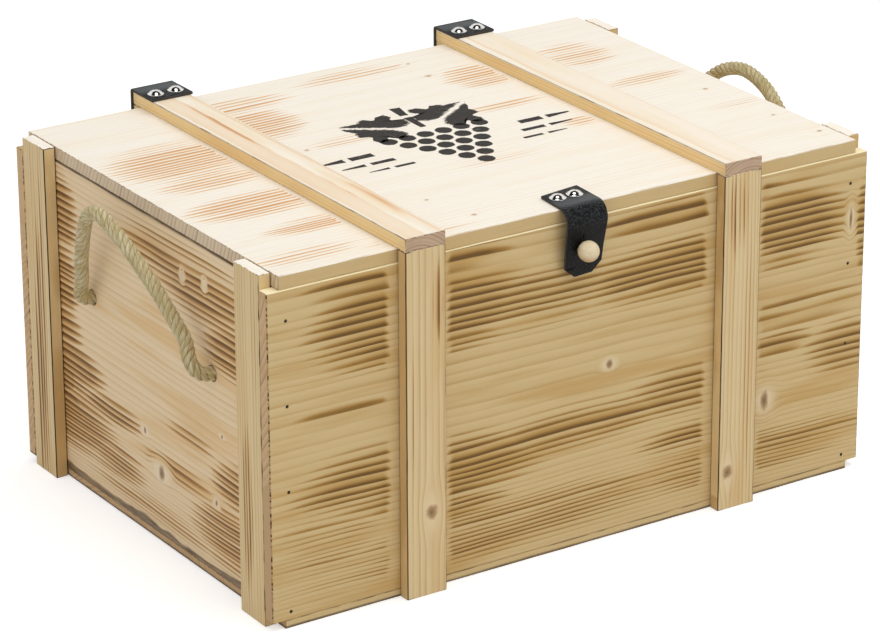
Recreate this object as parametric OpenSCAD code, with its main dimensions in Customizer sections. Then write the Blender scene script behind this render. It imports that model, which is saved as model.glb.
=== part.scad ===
// Wooden crate for wine bottles, with a lid on leather straps and two rope handles.
// Millimetres. X runs along the length, the front is at -Y and Z is up.
// The origin is the middle of the crate's underside, on the surface that it stands on.

/* [Crate] */
// Length over the corner battens
crate_l = 500; // [440:1:560]
// Depth over the front and back panels
crate_d = 347; // [320:1:390]
// Height of the panels' top edges above the ground
side_h = 245; // [235:1:290]
// Thickness of the front, back and end panels
wall_t = 10; // [8:0.5:14]
// Thickness of the bottom board
bottom_t = 6; // [4:0.5:9]
// Thickness of the lid board
lid_t = 10; // [8:0.5:14]

/* [Battens] */
// Width of every batten
batten_w = 32; // [28:1:38]
// Thickness of every batten
batten_t = 9.5; // [8:0.5:12]
// Distance of the front, back and lid battens from the middle
batten_x = 132; // [110:1:160]

/* [Leather straps] */
// Thickness of the leather
leather_t = 2.2; // [1.5:0.1:3]
// Width of the two hinge straps
hinge_w = 34; // [30:1:38]
// Length of a hinge strap on top of the lid
hinge_top_l = 30; // [26:1:45]
// Length of a hinge strap down the back
hinge_back_l = 33; // [30:1:50]
// Width of the closure strap
closure_w = 35; // [30:1:45]
// Length of the closure strap that lies flat on the lid
closure_flat_l = 20; // [18:1:24]
// Length of the closure strap below its bend
closure_drop_l = 35; // [33:1:40]
// Outer radius of the closure strap's bend
closure_bend_r = 11.5; // [11:0.5:12.5]

/* [Knob and screws] */
// Diameter of the ball knob
knob_d = 15; // [14:0.5:17]
// Diameter of the screws' washer heads
head_d = 11.5; // [9:0.5:13]
// Diameter of the screws' shanks
shank_d = 3.5; // [3:0.1:4]
// Diameter of the nails
nail_d = 1.6; // [1.2:0.1:2]

/* [Rope handles] */
// Diameter of the rope
rope_d = 10; // [8:0.5:11]
// Distance of each rope hole from the middle of its end panel
rope_hole_y = 84; // [80:1:90]
// Height of the rope holes
rope_hole_z = 156; // [140:1:165]
// Angle by which the left handle leans outwards at rest
left_lean = 12; // [5:1:20]
// Angle by which the right handle leans outwards at rest
right_lean = 20; // [5:1:25]

/* [Hidden] */
$fn = 48;

// Planes that the pieces share
lid_top = side_h + lid_t;
panel_y = crate_d / 2;
panel_in_y = panel_y - wall_t;
end_x = crate_l / 2 - batten_t;
end_in_x = end_x - wall_t;
batten_face_y = panel_y + batten_t;
lid_batten_top = lid_top + batten_t;

// Lid: a running gap at its ends and back, and a small step back from the front panel
lid_gap = 0.5;
lid_step = 1;

// Nails: length into the ends, into the battens and from below, and their heads
panel_nail_l = 30;
batten_nail_l = 17;
bottom_nail_l = 25;
nail_head_d = 2.4;
nail_head_t = 0.8;
panel_nail_z = [12, 100, 162, 223];
batten_nail_z = [40, 130, 205];
lid_nail_y = [-140, -50, 50, 120];
bottom_nail_x = [-200, -80, 80, 200];
bottom_nail_y = [-100, 0, 100];

// Hinge straps: the screws' spacing and their distance from the fold and from the end
hinge_screw_gap = 16.5;
hinge_screw_l = 14;
hinge_top_screw_y = batten_face_y - hinge_top_l + 10;
hinge_back_screw_z = lid_top - hinge_back_l + 10;

// Closure strap: it bends from the lid's edge on, and hangs a little inwards below its bend
closure_x = -2;
closure_turn = 98;
closure_steps = 14;
closure_back_y = -panel_y + 26.5;
closure_fold_y = closure_back_y - closure_flat_l;
closure_flap_start = closure_fold_y + panel_y - lid_step;
closure_screw_y = closure_back_y - 10;
closure_screw_gap = 14;
closure_screw_l = 8;
closure_cut = 8;
keyhole_d = 9;
keyhole_slit_w = 1.4;
keyhole_slit_l = 11;

// Knob: the height of its axis, its neck and the screw that holds it from inside
knob_z = lid_top - 28;
knob_reach = 15;
knob_neck_d = 6;
knob_screw_l = 22;
knob_screw_head_d = 7.5;
knob_screw_head_t = 2.2;

// Rope handles: the axis that they swing on stands off the end panel
rope_standoff = 9;
rope_hole_d = 12;
rope_clearance = 0.3;
rope_sides = 12;
knot_d = 27;
knot_l = 24;
tail_l = 12;

// Routes of the two handles, in their own leaning planes: [along the depth, up from the holes]
left_route = [
    [84, 0], [80, 7], [76, 15], [72, 25], [67, 37], [60, 50], [53, 62], [45, 74], [36, 84], [25, 90],
    [12, 90], [0, 85], [-12, 79], [-24, 71], [-36, 62], [-47, 53], [-57, 43], [-66, 33], [-73, 23],
    [-78, 14], [-82, 7], [-84, 0]
];
right_route = [
    [84, 0], [84, 9], [82, 21], [78, 34], [73, 47], [66, 60], [58, 71], [49, 82], [39, 90], [27, 95],
    [15, 97], [3, 96], [-9, 93], [-20, 89], [-31, 83], [-42, 76], [-52, 67], [-61, 57], [-69, 45],
    [-75, 33], [-80, 21], [-83, 9], [-84, 0]
];

// Colours
pine = "#C2A26C";
pine_light = "#F2E6D2";
pine_gold = "#D8BC82";
leather_black = "#1C1A1B";
nickel = "#C9C9C6";
steel = "#7C7A76";
hemp = "#C4B788";
knob_wood = "#DCC69C";

// One plank, given by its lowest and highest corner
module plank(low, high) {
    translate(low) cube(high - low);
}

// A nail that points along +Z, with the top of its head at the origin
module nail(length) {
    cylinder(d = nail_d, h = length);
    cylinder(d = nail_head_d, h = nail_head_t);
}

// A screw that points along -Z, with the underside of its washer head at the origin
module washer_screw(length) {
    rim_t = 0.8;
    dome_r = head_d * 0.4;
    dome_h = 1.8;
    ball_r = (dome_r * dome_r + dome_h * dome_h) / (2 * dome_h);
    slot_w = 1.2;
    slot_l = 5;
    slot_depth = 1.3;
    difference() {
        union() {
            cylinder(d = head_d, h = rim_t);
            intersection() {
                translate([0, 0, rim_t + dome_h - ball_r]) sphere(r = ball_r);
                cylinder(r = dome_r, h = rim_t + dome_h);
            }
        }
        for (turn = [0, 90]) {
            rotate([0, 0, turn]) translate([-slot_l / 2, -slot_w / 2, rim_t + dome_h - slot_depth])
                cube([slot_l, slot_w, slot_depth + 1]);
        }
    }
    screw_shank(length);
}

// The part of a screw that sits in leather and wood, also used to bore its hole
module screw_shank(length) {
    point_l = 3;
    translate([0, 0, point_l - length]) cylinder(d = shank_d, h = length - point_l);
    translate([0, 0, -length]) cylinder(d1 = 0.4, d2 = shank_d, h = point_l);
}

// Nails

module panel_nail_row(side) {
    for (end = [-1, 1], z = panel_nail_z) {
        translate([end * (end_x - wall_t / 2), side * panel_y, z])
            rotate([side * 90, 0, 0]) nail(panel_nail_l);
    }
}

module face_batten_nail_row(side) {
    for (x = [-batten_x, batten_x], z = batten_nail_z) {
        translate([x, side * panel_in_y, z]) rotate([-side * 90, 0, 0]) nail(batten_nail_l);
    }
}

module corner_nail_set() {
    for (end = [-1, 1], side = [-1, 1], z = batten_nail_z) {
        translate([end * end_in_x, side * (panel_in_y - batten_w / 2), z])
            rotate([0, end * 90, 0]) nail(batten_nail_l);
    }
}

module bottom_nail_set() {
    for (side = [-1, 1], x = bottom_nail_x) {
        translate([x, side * (panel_y - wall_t / 2), 0]) nail(bottom_nail_l);
    }
    for (end = [-1, 1], y = bottom_nail_y) {
        translate([end * (end_x - wall_t / 2), y, 0]) nail(bottom_nail_l);
    }
}

module lid_nail_set() {
    for (x = [-batten_x, batten_x], y = lid_nail_y) {
        translate([x, y, side_h]) nail(batten_nail_l);
    }
}

module front_panel_nails() {
    color(steel) panel_nail_row(-1);
}

module back_panel_nails() {
    color(steel) panel_nail_row(1);
}

module corner_batten_nails() {
    color(steel) corner_nail_set();
}

module front_batten_nails() {
    color(steel) face_batten_nail_row(-1);
}

module back_batten_nails() {
    color(steel) face_batten_nail_row(1);
}

module bottom_nails() {
    color(steel) bottom_nail_set();
}

module lid_nails() {
    color(steel) lid_nail_set();
}

// Panels and bottom

module long_panel(side) {
    difference() {
        plank([-crate_l / 2, min(side * panel_in_y, side * panel_y), bottom_t],
              [crate_l / 2, max(side * panel_in_y, side * panel_y), side_h]);
        panel_nail_row(side);
        face_batten_nail_row(side);
        bottom_nail_set();
        if (side < 0) knob_screw_solid();
        if (side > 0) hinge_back_shanks();
    }
}

module end_panel(end) {
    difference() {
        plank([min(end * end_in_x, end * end_x), -panel_in_y, bottom_t],
              [max(end * end_in_x, end * end_x), panel_in_y, side_h]);
        for (side = [-1, 1]) {
            translate([end * (end_in_x - 1), side * rope_hole_y, rope_hole_z])
                rotate([0, end * 90, 0]) cylinder(d = rope_hole_d, h = wall_t + 2);
        }
        panel_nail_row(-1);
        panel_nail_row(1);
        corner_nail_set();
        bottom_nail_set();
    }
}

module front_panel() {
    color(pine) long_panel(-1);
}

module back_panel() {
    color(pine) long_panel(1);
}

module left_end_panel() {
    color(pine) end_panel(-1);
}

module right_end_panel() {
    color(pine) end_panel(1);
}

module bottom_board() {
    color(pine) difference() {
        plank([-end_x + lid_gap, -panel_y, 0], [end_x - lid_gap, panel_y, bottom_t]);
        bottom_nail_set();
    }
}

// Battens

module corner_batten(end, side) {
    inner_y = panel_in_y - batten_w;
    color(pine_gold) difference() {
        plank([min(end * end_x, end * crate_l / 2), min(side * inner_y, side * panel_in_y), 0],
              [max(end * end_x, end * crate_l / 2), max(side * inner_y, side * panel_in_y), lid_top]);
        corner_nail_set();
    }
}

module face_batten(side, x) {
    color(pine_gold) difference() {
        plank([x - batten_w / 2, min(side * panel_y, side * batten_face_y), 0],
              [x + batten_w / 2, max(side * panel_y, side * batten_face_y), lid_top]);
        face_batten_nail_row(side);
        if (side > 0) hinge_back_shanks();
    }
}

module front_left_corner_batten() {
    corner_batten(-1, -1);
}

module front_right_corner_batten() {
    corner_batten(1, -1);
}

module back_left_corner_batten() {
    corner_batten(-1, 1);
}

module back_right_corner_batten() {
    corner_batten(1, 1);
}

module front_left_batten() {
    face_batten(-1, -batten_x);
}

module front_right_batten() {
    face_batten(-1, batten_x);
}

module back_left_batten() {
    face_batten(1, -batten_x);
}

module back_right_batten() {
    face_batten(1, batten_x);
}

// Lid

module lid_board() {
    color(pine_light) difference() {
        plank([-end_x + lid_gap, -panel_y + lid_step, side_h],
              [end_x - lid_gap, panel_y - lid_gap, lid_top]);
        lid_nail_set();
        hinge_lid_shanks();
        closure_shanks();
    }
}

module lid_batten(x) {
    color(pine_gold) difference() {
        plank([x - batten_w / 2, -batten_face_y, lid_top],
              [x + batten_w / 2, batten_face_y, lid_batten_top]);
        lid_nail_set();
        hinge_lid_shanks();
    }
}

module left_lid_batten() {
    lid_batten(-batten_x);
}

module right_lid_batten() {
    lid_batten(batten_x);
}

// Hinge straps: one strip of leather each, in two leaves that part at the fold

module lower_leaf(x) {
    color(leather_black) difference() {
        plank([x - hinge_w / 2, batten_face_y, lid_top - hinge_back_l],
              [x + hinge_w / 2, batten_face_y + leather_t, lid_top]);
        hinge_back_shanks();
    }
}

module upper_leaf(x) {
    color(leather_black) difference() {
        union() {
            plank([x - hinge_w / 2, batten_face_y - hinge_top_l, lid_batten_top],
                  [x + hinge_w / 2, batten_face_y, lid_batten_top + leather_t]);
            plank([x - hinge_w / 2, batten_face_y, lid_top],
                  [x + hinge_w / 2, batten_face_y + leather_t, lid_batten_top]);
            intersection() {
                translate([x - hinge_w / 2, batten_face_y, lid_batten_top])
                    rotate([0, 90, 0]) cylinder(r = leather_t, h = hinge_w);
                plank([x - hinge_w / 2, batten_face_y, lid_batten_top],
                      [x + hinge_w / 2, batten_face_y + leather_t, lid_batten_top + leather_t]);
            }
        }
        hinge_lid_shanks();
    }
}

module at_hinge_back_screws() {
    for (x = [-batten_x, batten_x], way = [-1, 1]) {
        translate([x + way * hinge_screw_gap / 2, batten_face_y + leather_t, hinge_back_screw_z])
            rotate([-90, 0, 0]) children();
    }
}

module at_hinge_lid_screws() {
    for (x = [-batten_x, batten_x], way = [-1, 1]) {
        translate([x + way * hinge_screw_gap / 2, hinge_top_screw_y, lid_batten_top + leather_t])
            children();
    }
}

module hinge_back_shanks() {
    at_hinge_back_screws() screw_shank(hinge_screw_l);
}

module hinge_lid_shanks() {
    at_hinge_lid_screws() screw_shank(hinge_screw_l);
}

module left_hinge_lower_leaf() {
    lower_leaf(-batten_x);
}

module left_hinge_upper_leaf() {
    upper_leaf(-batten_x);
}

module right_hinge_lower_leaf() {
    lower_leaf(batten_x);
}

module right_hinge_upper_leaf() {
    upper_leaf(batten_x);
}

module hinge_back_screws() {
    color(nickel) at_hinge_back_screws() washer_screw(hinge_screw_l);
}

module hinge_lid_screws() {
    color(nickel) at_hinge_lid_screws() washer_screw(hinge_screw_l);
}

// Closure strap: a flat tab on the lid, and a flap that bends over the edge to the knob

module at_closure_screws() {
    for (way = [-1, 1]) {
        translate([closure_x + way * closure_screw_gap / 2, closure_screw_y, lid_top + leather_t])
            children();
    }
}

module closure_shanks() {
    at_closure_screws() screw_shank(closure_screw_l + leather_t);
}

module closure_strap_tab() {
    color(leather_black) difference() {
        plank([closure_x - closure_w / 2, closure_fold_y, lid_top],
              [closure_x + closure_w / 2, closure_back_y, lid_top + leather_t]);
        closure_shanks();
    }
}

module closure_strap_flap() {
    drop_y = closure_fold_y - closure_flap_start;
    drop_z = lid_top + leather_t - closure_bend_r;
    color(leather_black) intersection() {
        translate([closure_x - closure_w / 2, drop_y, drop_z]) rotate([90, 0, 90])
            linear_extrude(closure_w) flap_profile();
        translate([closure_x, closure_back_y, knob_z]) rotate([90, 0, 0])
            linear_extrude(closure_flat_l + 3 * closure_bend_r) flap_outline(drop_z - knob_z);
    }
}

// The flap seen from the front, about the knob's axis, with both lower corners cut off. It is
// a little wider and longer than the leather, whose side view gives those edges.
module flap_outline(bend_up) {
    spare = 1;
    half = closure_w / 2 + spare;
    tip_up = bend_up + closure_bend_r * cos(closure_turn) - closure_drop_l * sin(closure_turn);
    low = tip_up - spare;
    cut = closure_cut + 2 * spare;
    high = lid_top + leather_t + spare - knob_z;
    difference() {
        polygon([
            [-half, high], [-half, low + cut], [cut - half, low],
            [half - cut, low], [half, low + cut], [half, high]
        ]);
        keyhole_outline();
    }
}

// One face of the flap seen from its side, about the centre of its bend: a short flat start,
// the bend, and the part that hangs down and leans back towards the panel
function flap_face(r) = [
    [closure_flap_start, r],
    for (turn = [0 : closure_turn / closure_steps : closure_turn]) [-r * sin(turn), r * cos(turn)],
    [
        -r * sin(closure_turn) - closure_drop_l * cos(closure_turn),
        r * cos(closure_turn) - closure_drop_l * sin(closure_turn)
    ]
];

module flap_profile() {
    inside = flap_face(closure_bend_r - leather_t);
    count = len(inside);
    polygon(concat(flap_face(closure_bend_r), [for (i = [1 : count]) inside[count - i]]));
}

// A round hole for the knob's neck, with a slit above it that lets the ball through
module keyhole_outline() {
    circle(d = keyhole_d);
    translate([-keyhole_slit_w / 2, 0]) square([keyhole_slit_w, keyhole_slit_l]);
}

module closure_screws() {
    color(nickel) at_closure_screws() washer_screw(closure_screw_l + leather_t);
}

// Knob: a ball with a short neck, held by a countersunk screw from inside the crate

module knob_screw_solid() {
    translate([closure_x, -panel_in_y, knob_z]) rotate([90, 0, 0]) {
        cylinder(d1 = knob_screw_head_d, d2 = shank_d, h = knob_screw_head_t);
        cylinder(d = shank_d, h = knob_screw_l);
    }
}

module knob_screw() {
    slot_w = 1;
    slot_l = 4;
    slot_depth = 1;
    color(steel) difference() {
        knob_screw_solid();
        for (turn = [0, 90]) {
            translate([closure_x, -panel_in_y - slot_depth, knob_z]) rotate([0, turn, 0])
                translate([-slot_l / 2, 0, -slot_w / 2]) cube([slot_l, slot_depth + 1, slot_w]);
        }
    }
}

module closure_knob() {
    color(knob_wood) difference() {
        union() {
            translate([closure_x, -panel_y - knob_reach, knob_z]) rotate([90, 0, 0]) sphere(d = knob_d);
            translate([closure_x, -panel_y, knob_z]) rotate([90, 0, 0])
                cylinder(d = knob_neck_d, h = knob_reach);
        }
        knob_screw_solid();
    }
}

// Rope handles: a tube swept along the route, in the plane that leans outwards

function unit(v) = v / norm(v);

function route_way(route, i) =
    unit(route[min(i + 1, len(route) - 1)] - route[max(i - 1, 0)]);

// One ring of the tube: across the route in its plane, and square to the plane
function route_ring(route, i) = [
    for (k = [0 : rope_sides - 1])
        let (way = route_way(route, i), turn = 360 * k / rope_sides)
        [
            rope_d / 2 * sin(turn),
            route[i][0] - way[1] * rope_d / 2 * cos(turn),
            route[i][1] + way[0] * rope_d / 2 * cos(turn)
        ]
];

module rope_tube(route) {
    rings = len(route);
    points = [for (i = [0 : rings - 1], p = route_ring(route, i)) p];
    sides = [
        for (i = [0 : rings - 2], k = [0 : rope_sides - 1])
            let (a = i * rope_sides, b = a + rope_sides, next = (k + 1) % rope_sides)
            [a + k, b + k, b + next, a + next]
    ];
    first_cap = [for (k = [0 : rope_sides - 1]) k];
    last_cap = [for (k = [rope_sides - 1 : -1 : 0]) (rings - 1) * rope_sides + k];
    polyhedron(points = points, faces = concat(sides, [first_cap, last_cap]));
}

module rope_handle(end, lean, route) {
    translate([end * (end_x + rope_standoff), 0, rope_hole_z]) rotate([0, end * lean, 0])
        rope_tube(route);
}

// The stub in each hole, the knot that holds it inside the crate, and the rope's tail
module rope_ends(end) {
    stub_out = end_x + rope_standoff - rope_d / 2 - rope_clearance;
    knot_out = end_in_x - rope_clearance;
    knot_round = 6;
    color(hemp) for (side = [-1, 1]) {
        translate([end * stub_out, side * rope_hole_y, rope_hole_z]) rotate([0, -end * 90, 0])
            cylinder(d = rope_d, h = stub_out - knot_out + knot_l + tail_l);
        translate([end * knot_out, side * rope_hole_y, rope_hole_z]) rotate([0, -end * 90, 0])
            rotate_extrude() knot_profile(knot_round);
    }
}

// Half of the knot's section, round at the rim
module knot_profile(round) {
    square([knot_d / 2 - round, knot_l]);
    translate([0, round]) square([knot_d / 2, knot_l - 2 * round]);
    for (up = [round, knot_l - round]) {
        translate([knot_d / 2 - round, up]) circle(r = round);
    }
}

module left_rope_handle() {
    color(hemp) rope_handle(-1, left_lean, left_route);
}

module right_rope_handle() {
    color(hemp) rope_handle(1, right_lean, right_route);
}

module left_rope_ends() {
    rope_ends(-1);
}

module right_rope_ends() {
    rope_ends(1);
}

front_panel();
back_panel();
left_end_panel();
right_end_panel();
bottom_board();
front_left_corner_batten();
front_right_corner_batten();
back_left_corner_batten();
back_right_corner_batten();
front_left_batten();
front_right_batten();
back_left_batten();
back_right_batten();
front_panel_nails();
back_panel_nails();
corner_batten_nails();
front_batten_nails();
back_batten_nails();
bottom_nails();
lid_board();
left_lid_batten();
right_lid_batten();
lid_nails();
left_hinge_lower_leaf();
left_hinge_upper_leaf();
right_hinge_lower_leaf();
right_hinge_upper_leaf();
hinge_back_screws();
hinge_lid_screws();
closure_strap_tab();
closure_strap_flap();
closure_screws();
closure_knob();
knob_screw();
left_rope_handle();
right_rope_handle();
left_rope_ends();
right_rope_ends();
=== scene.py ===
import math
import random

import bmesh
import bpy
from mathutils import Matrix, Vector
from mathutils.kdtree import KDTree


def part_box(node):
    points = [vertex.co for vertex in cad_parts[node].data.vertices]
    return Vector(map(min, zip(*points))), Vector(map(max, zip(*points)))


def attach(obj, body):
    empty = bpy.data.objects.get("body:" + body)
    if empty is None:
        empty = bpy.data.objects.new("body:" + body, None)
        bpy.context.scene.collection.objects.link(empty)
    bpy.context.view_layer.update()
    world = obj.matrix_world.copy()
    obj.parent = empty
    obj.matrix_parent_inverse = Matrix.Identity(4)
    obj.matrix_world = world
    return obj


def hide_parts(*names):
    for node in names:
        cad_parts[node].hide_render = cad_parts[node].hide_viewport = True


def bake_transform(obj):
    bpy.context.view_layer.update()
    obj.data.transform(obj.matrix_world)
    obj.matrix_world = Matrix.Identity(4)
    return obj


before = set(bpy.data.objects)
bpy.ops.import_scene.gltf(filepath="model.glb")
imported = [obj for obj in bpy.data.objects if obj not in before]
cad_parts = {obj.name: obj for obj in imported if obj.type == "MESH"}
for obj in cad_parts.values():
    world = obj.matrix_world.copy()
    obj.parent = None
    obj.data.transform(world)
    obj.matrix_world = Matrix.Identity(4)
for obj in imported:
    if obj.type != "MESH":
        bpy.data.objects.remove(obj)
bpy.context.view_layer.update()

# ---------------------------------------------------------------------------------------------
# Camera. A long lens looks from the front left and a little above, so that the lid, the front
# and the left end all show.

camera_place = Vector((-1.52209, -2.32475, 1.23279))
camera_azimuth = math.radians(-33.1943)
camera_elevation = math.radians(21.9310)
camera_roll = math.radians(-0.2447)
camera_lens = 168.75


def camera_turn(azimuth, elevation, roll):
    """The camera's own axes as a matrix: right, up and back."""
    back = Vector((
        math.sin(azimuth) * math.cos(elevation),
        -math.cos(azimuth) * math.cos(elevation),
        math.sin(elevation),
    ))
    right = Vector((0, 0, 1)).cross(back).normalized()
    up = back.cross(right)
    rolled_right = math.cos(roll) * right + math.sin(roll) * up
    rolled_up = math.cos(roll) * up - math.sin(roll) * right
    return Matrix((rolled_right, rolled_up, back)).transposed()


camera = bpy.data.objects.new("camera", bpy.data.cameras.new("camera"))
camera.data.lens = camera_lens
camera.data.sensor_width = 36
camera.location = camera_place
camera.rotation_euler = camera_turn(camera_azimuth, camera_elevation, camera_roll).to_euler()
bpy.context.scene.collection.objects.link(camera)
bpy.context.scene.camera = camera
bpy.context.scene.view_settings.view_transform = "Standard"

# ---------------------------------------------------------------------------------------------
# Studio. A wide soft lamp above gives the pale lid its light, two weaker ones fill the front and
# the left end, and the floor and world are white to the camera and to reflections.


class Finish:
    """One material, with nodes that are wired as they are added."""

    def __init__(self, name, roughness=0.6, specular=0.5, metallic=0.0):
        self.material = bpy.data.materials.new(name)
        self.material.use_nodes = True
        self.tree = self.material.node_tree
        self.shader = self.tree.nodes["Principled BSDF"]
        self.surface("Roughness", roughness)
        self.surface("Specular IOR Level", specular)
        self.surface("Metallic", metallic)
        self.place = None

    def surface(self, name, value):
        """Gives an input of the shader its value or what it is linked to."""
        self.feed(self.shader.inputs[name], value)

    def feed(self, socket, value):
        if isinstance(value, bpy.types.NodeSocket):
            self.tree.links.new(value, socket)
        elif value is not None:
            socket.default_value = value

    def add(self, kind, *values, **settings):
        node = self.tree.nodes.new(kind)
        for key, value in settings.items():
            setattr(node, key, value)
        for socket, value in zip(node.inputs, values):
            self.feed(socket, value)
        return node

    def math(self, operation, *values, clamp=False):
        return self.add("ShaderNodeMath", *values, operation=operation, use_clamp=clamp).outputs[0]

    def plus(self, a, b, clamp=False):
        return self.math("ADD", a, b, clamp=clamp)

    def minus(self, a, b):
        return self.math("SUBTRACT", a, b)

    def times(self, a, b, clamp=False):
        return self.math("MULTIPLY", a, b, clamp=clamp)

    def scaled(self, value, factor, offset):
        return self.math("MULTIPLY_ADD", value, factor, offset)

    def larger(self, a, b):
        return self.math("MAXIMUM", a, b)

    def vector(self, operation, a, b=None):
        node = self.add("ShaderNodeVectorMath", a, b, operation=operation)
        return node.outputs[1 if operation == "LENGTH" else 0]

    def object_place(self):
        """Object coordinates in millimetres."""
        if self.place is None:
            where = self.add("ShaderNodeTexCoord").outputs["Object"]
            self.place = self.vector("MULTIPLY", where, (1000, 1000, 1000))
        return self.place

    def ellipse(self, off, along, across):
        """0 in the middle, from which off is measured, and 1 on the ellipse with two radii."""
        return self.vector("LENGTH", self.vector("MULTIPLY", off, (1 / along, 1 / across, 0)))

    def split(self, vector):
        return self.add("ShaderNodeSeparateXYZ", vector).outputs[:]

    def join(self, x, y, z):
        return self.add("ShaderNodeCombineXYZ", x, y, z).outputs[0]

    def noise(self, vector, stretch, seed, detail=2.0, roughness=0.5):
        """Noise from 0 to 1, whose features are about stretch millimetres long each way."""
        evened = self.vector("DIVIDE", vector, stretch)
        moved = self.vector("ADD", evened, (seed * 7.31, seed * 3.17, seed * 5.79))
        node = self.add("ShaderNodeTexNoise", noise_dimensions="3D")
        self.feed(node.inputs["Vector"], moved)
        node.inputs["Scale"].default_value = 1.0
        node.inputs["Detail"].default_value = detail
        node.inputs["Roughness"].default_value = roughness
        return node.outputs[0]

    def fade(self, value, start, stop, low=0.0, high=1.0):
        """A smooth step: low at start, high at stop."""
        node = self.add("ShaderNodeMapRange", interpolation_type="SMOOTHSTEP", clamp=True)
        for key, given in (("Value", value), ("From Min", start), ("From Max", stop),
                           ("To Min", low), ("To Max", high)):
            self.feed(node.inputs[key], given)
        return node.outputs[0]

    def mix(self, factor, a, b, mode="MIX"):
        node = self.add("ShaderNodeMix", data_type="RGBA", blend_type=mode)
        self.feed(node.inputs[0], factor)
        self.feed(node.inputs[6], a)
        self.feed(node.inputs[7], b)
        return node.outputs[2]

    def ramp(self, value, *stops):
        """A ramp of greys or colours; stops are (position, value)."""
        node = self.add("ShaderNodeValToRGB", value)
        marks = node.color_ramp.elements
        while len(marks) < len(stops):
            marks.new(1.0)
        for mark, (position, shade) in zip(marks, stops):
            mark.position = position
            mark.color = shade if isinstance(shade, tuple) else (shade, shade, shade, 1)
        return node.outputs[0]

    def relief(self, height, depth):
        """Bump of depth millimetres where height goes from 0 to 1."""
        node = self.add("ShaderNodeBump")
        node.inputs["Distance"].default_value = depth * 0.001
        self.feed(node.inputs["Height"], height)
        return node.outputs[0]


def paint(colour):
    """A colour written as a web colour, in linear light."""
    channels = [int(colour[i:i + 2], 16) / 255 for i in (1, 3, 5)]
    return (*[c / 12.92 if c <= 0.04045 else ((c + 0.055) / 1.055) ** 2.4 for c in channels], 1.0)


def white_to_camera(finish):
    """1 for the rays by which the floor and the world are seen, directly or in metal."""
    path = finish.add("ShaderNodeLightPath")
    seen = finish.plus(path.outputs["Is Camera Ray"], path.outputs["Is Glossy Ray"])
    return finish.plus(seen, path.outputs["Is Transmission Ray"], clamp=True)


def area_lamp(name, place, target, size, power):
    """A rectangular lamp that faces target, with its size in metres and its power in watts."""
    lamp = bpy.data.objects.new(name, bpy.data.lights.new(name, "AREA"))
    lamp.data.shape = "RECTANGLE"
    lamp.data.size, lamp.data.size_y = size
    lamp.data.energy = power
    lamp.location = place
    aim = Vector(target) - Vector(place)
    lamp.rotation_euler = aim.to_track_quat("-Z", "Y").to_euler()
    bpy.context.scene.collection.objects.link(lamp)


def as_object(name, shape):
    """Puts a bmesh into the scene as an object of its own, and frees it."""
    made = bpy.data.objects.new(name, bpy.data.meshes.new(name))
    shape.to_mesh(made.data)
    shape.free()
    bpy.context.scene.collection.objects.link(made)
    return made


middle_of_crate = (0, 0, 0.12)
area_lamp("lamp_above", (0.25, -0.35, 2.2), (0, 0, 0.15), size=(2.2, 1.8), power=22)
area_lamp("lamp_front", (0.7, -2.4, 1.1), middle_of_crate, size=(1.6, 1.4), power=7.5)
area_lamp("lamp_left", (-2.3, -0.3, 1.0), middle_of_crate, size=(2.4, 2.0), power=6)

world_glow = 0.54
white = 1.0
world = bpy.data.worlds.new("studio")
world.use_nodes = True
bpy.context.scene.world = world
world_light = world.node_tree.nodes["Background"]
world_light.inputs["Color"].default_value = (1, 1, 1, 1)
world_paths = world.node_tree.nodes.new("ShaderNodeLightPath")
world_seen = world.node_tree.nodes.new("ShaderNodeMath")
world_seen.operation = "MAXIMUM"
world_seen_more = world.node_tree.nodes.new("ShaderNodeMath")
world_seen_more.operation = "MAXIMUM"
world_strength = world.node_tree.nodes.new("ShaderNodeMapRange")
world_strength.inputs["To Min"].default_value = world_glow
world_strength.inputs["To Max"].default_value = white
for start, stop in (
    (world_paths.outputs["Is Camera Ray"], world_seen.inputs[0]),
    (world_paths.outputs["Is Glossy Ray"], world_seen.inputs[1]),
    (world_seen.outputs[0], world_seen_more.inputs[0]),
    (world_paths.outputs["Is Transmission Ray"], world_seen_more.inputs[1]),
    (world_seen_more.outputs[0], world_strength.inputs["Value"]),
    (world_strength.outputs["Result"], world_light.inputs["Strength"]),
):
    world.node_tree.links.new(start, stop)

# A dark curtain stands round the set above the horizon, and a dark ring hangs round the lamp
# above. Only reflections show them.
curtain_finish = Finish("curtain_cloth", roughness=1.0, specular=0.0)
curtain_finish.surface("Base Color", (0.02, 0.02, 0.02, 1))
for name, low_radius, high_radius, low, high in (
    ("curtain", 4.0, 4.0, 0.2, 0.8), ("dark_ring", 1.5, 0.42, 2.0, 2.02),
):
    cloth = bmesh.new()
    bmesh.ops.create_cone(cloth, cap_ends=False, segments=64, radius1=low_radius,
                          radius2=high_radius, depth=high - low)
    bmesh.ops.translate(cloth, vec=(0, 0, (low + high) / 2), verts=cloth.verts)
    hung = as_object(name, cloth)
    hung.data.materials.append(curtain_finish.material)
    for ray in ("camera", "diffuse", "transmission", "volume_scatter", "shadow"):
        setattr(hung, f"visible_{ray}", False)

floor_size = 14
floor_mesh = bmesh.new()
bmesh.ops.create_grid(floor_mesh, x_segments=1, y_segments=1, size=floor_size / 2)
floor = as_object("floor", floor_mesh)
floor_finish = Finish("floor_paper", roughness=0.9, specular=0.1)
floor_finish.surface("Base Color", (0.8, 0.8, 0.8, 1))
floor_finish.surface("Emission Color", (1, 1, 1, 1))
floor_glow = 0.5
floor_light = floor_finish.times(white_to_camera(floor_finish), floor_glow)
floor_finish.surface("Emission Strength", floor_light)
floor.data.materials.append(floor_finish.material)

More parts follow.
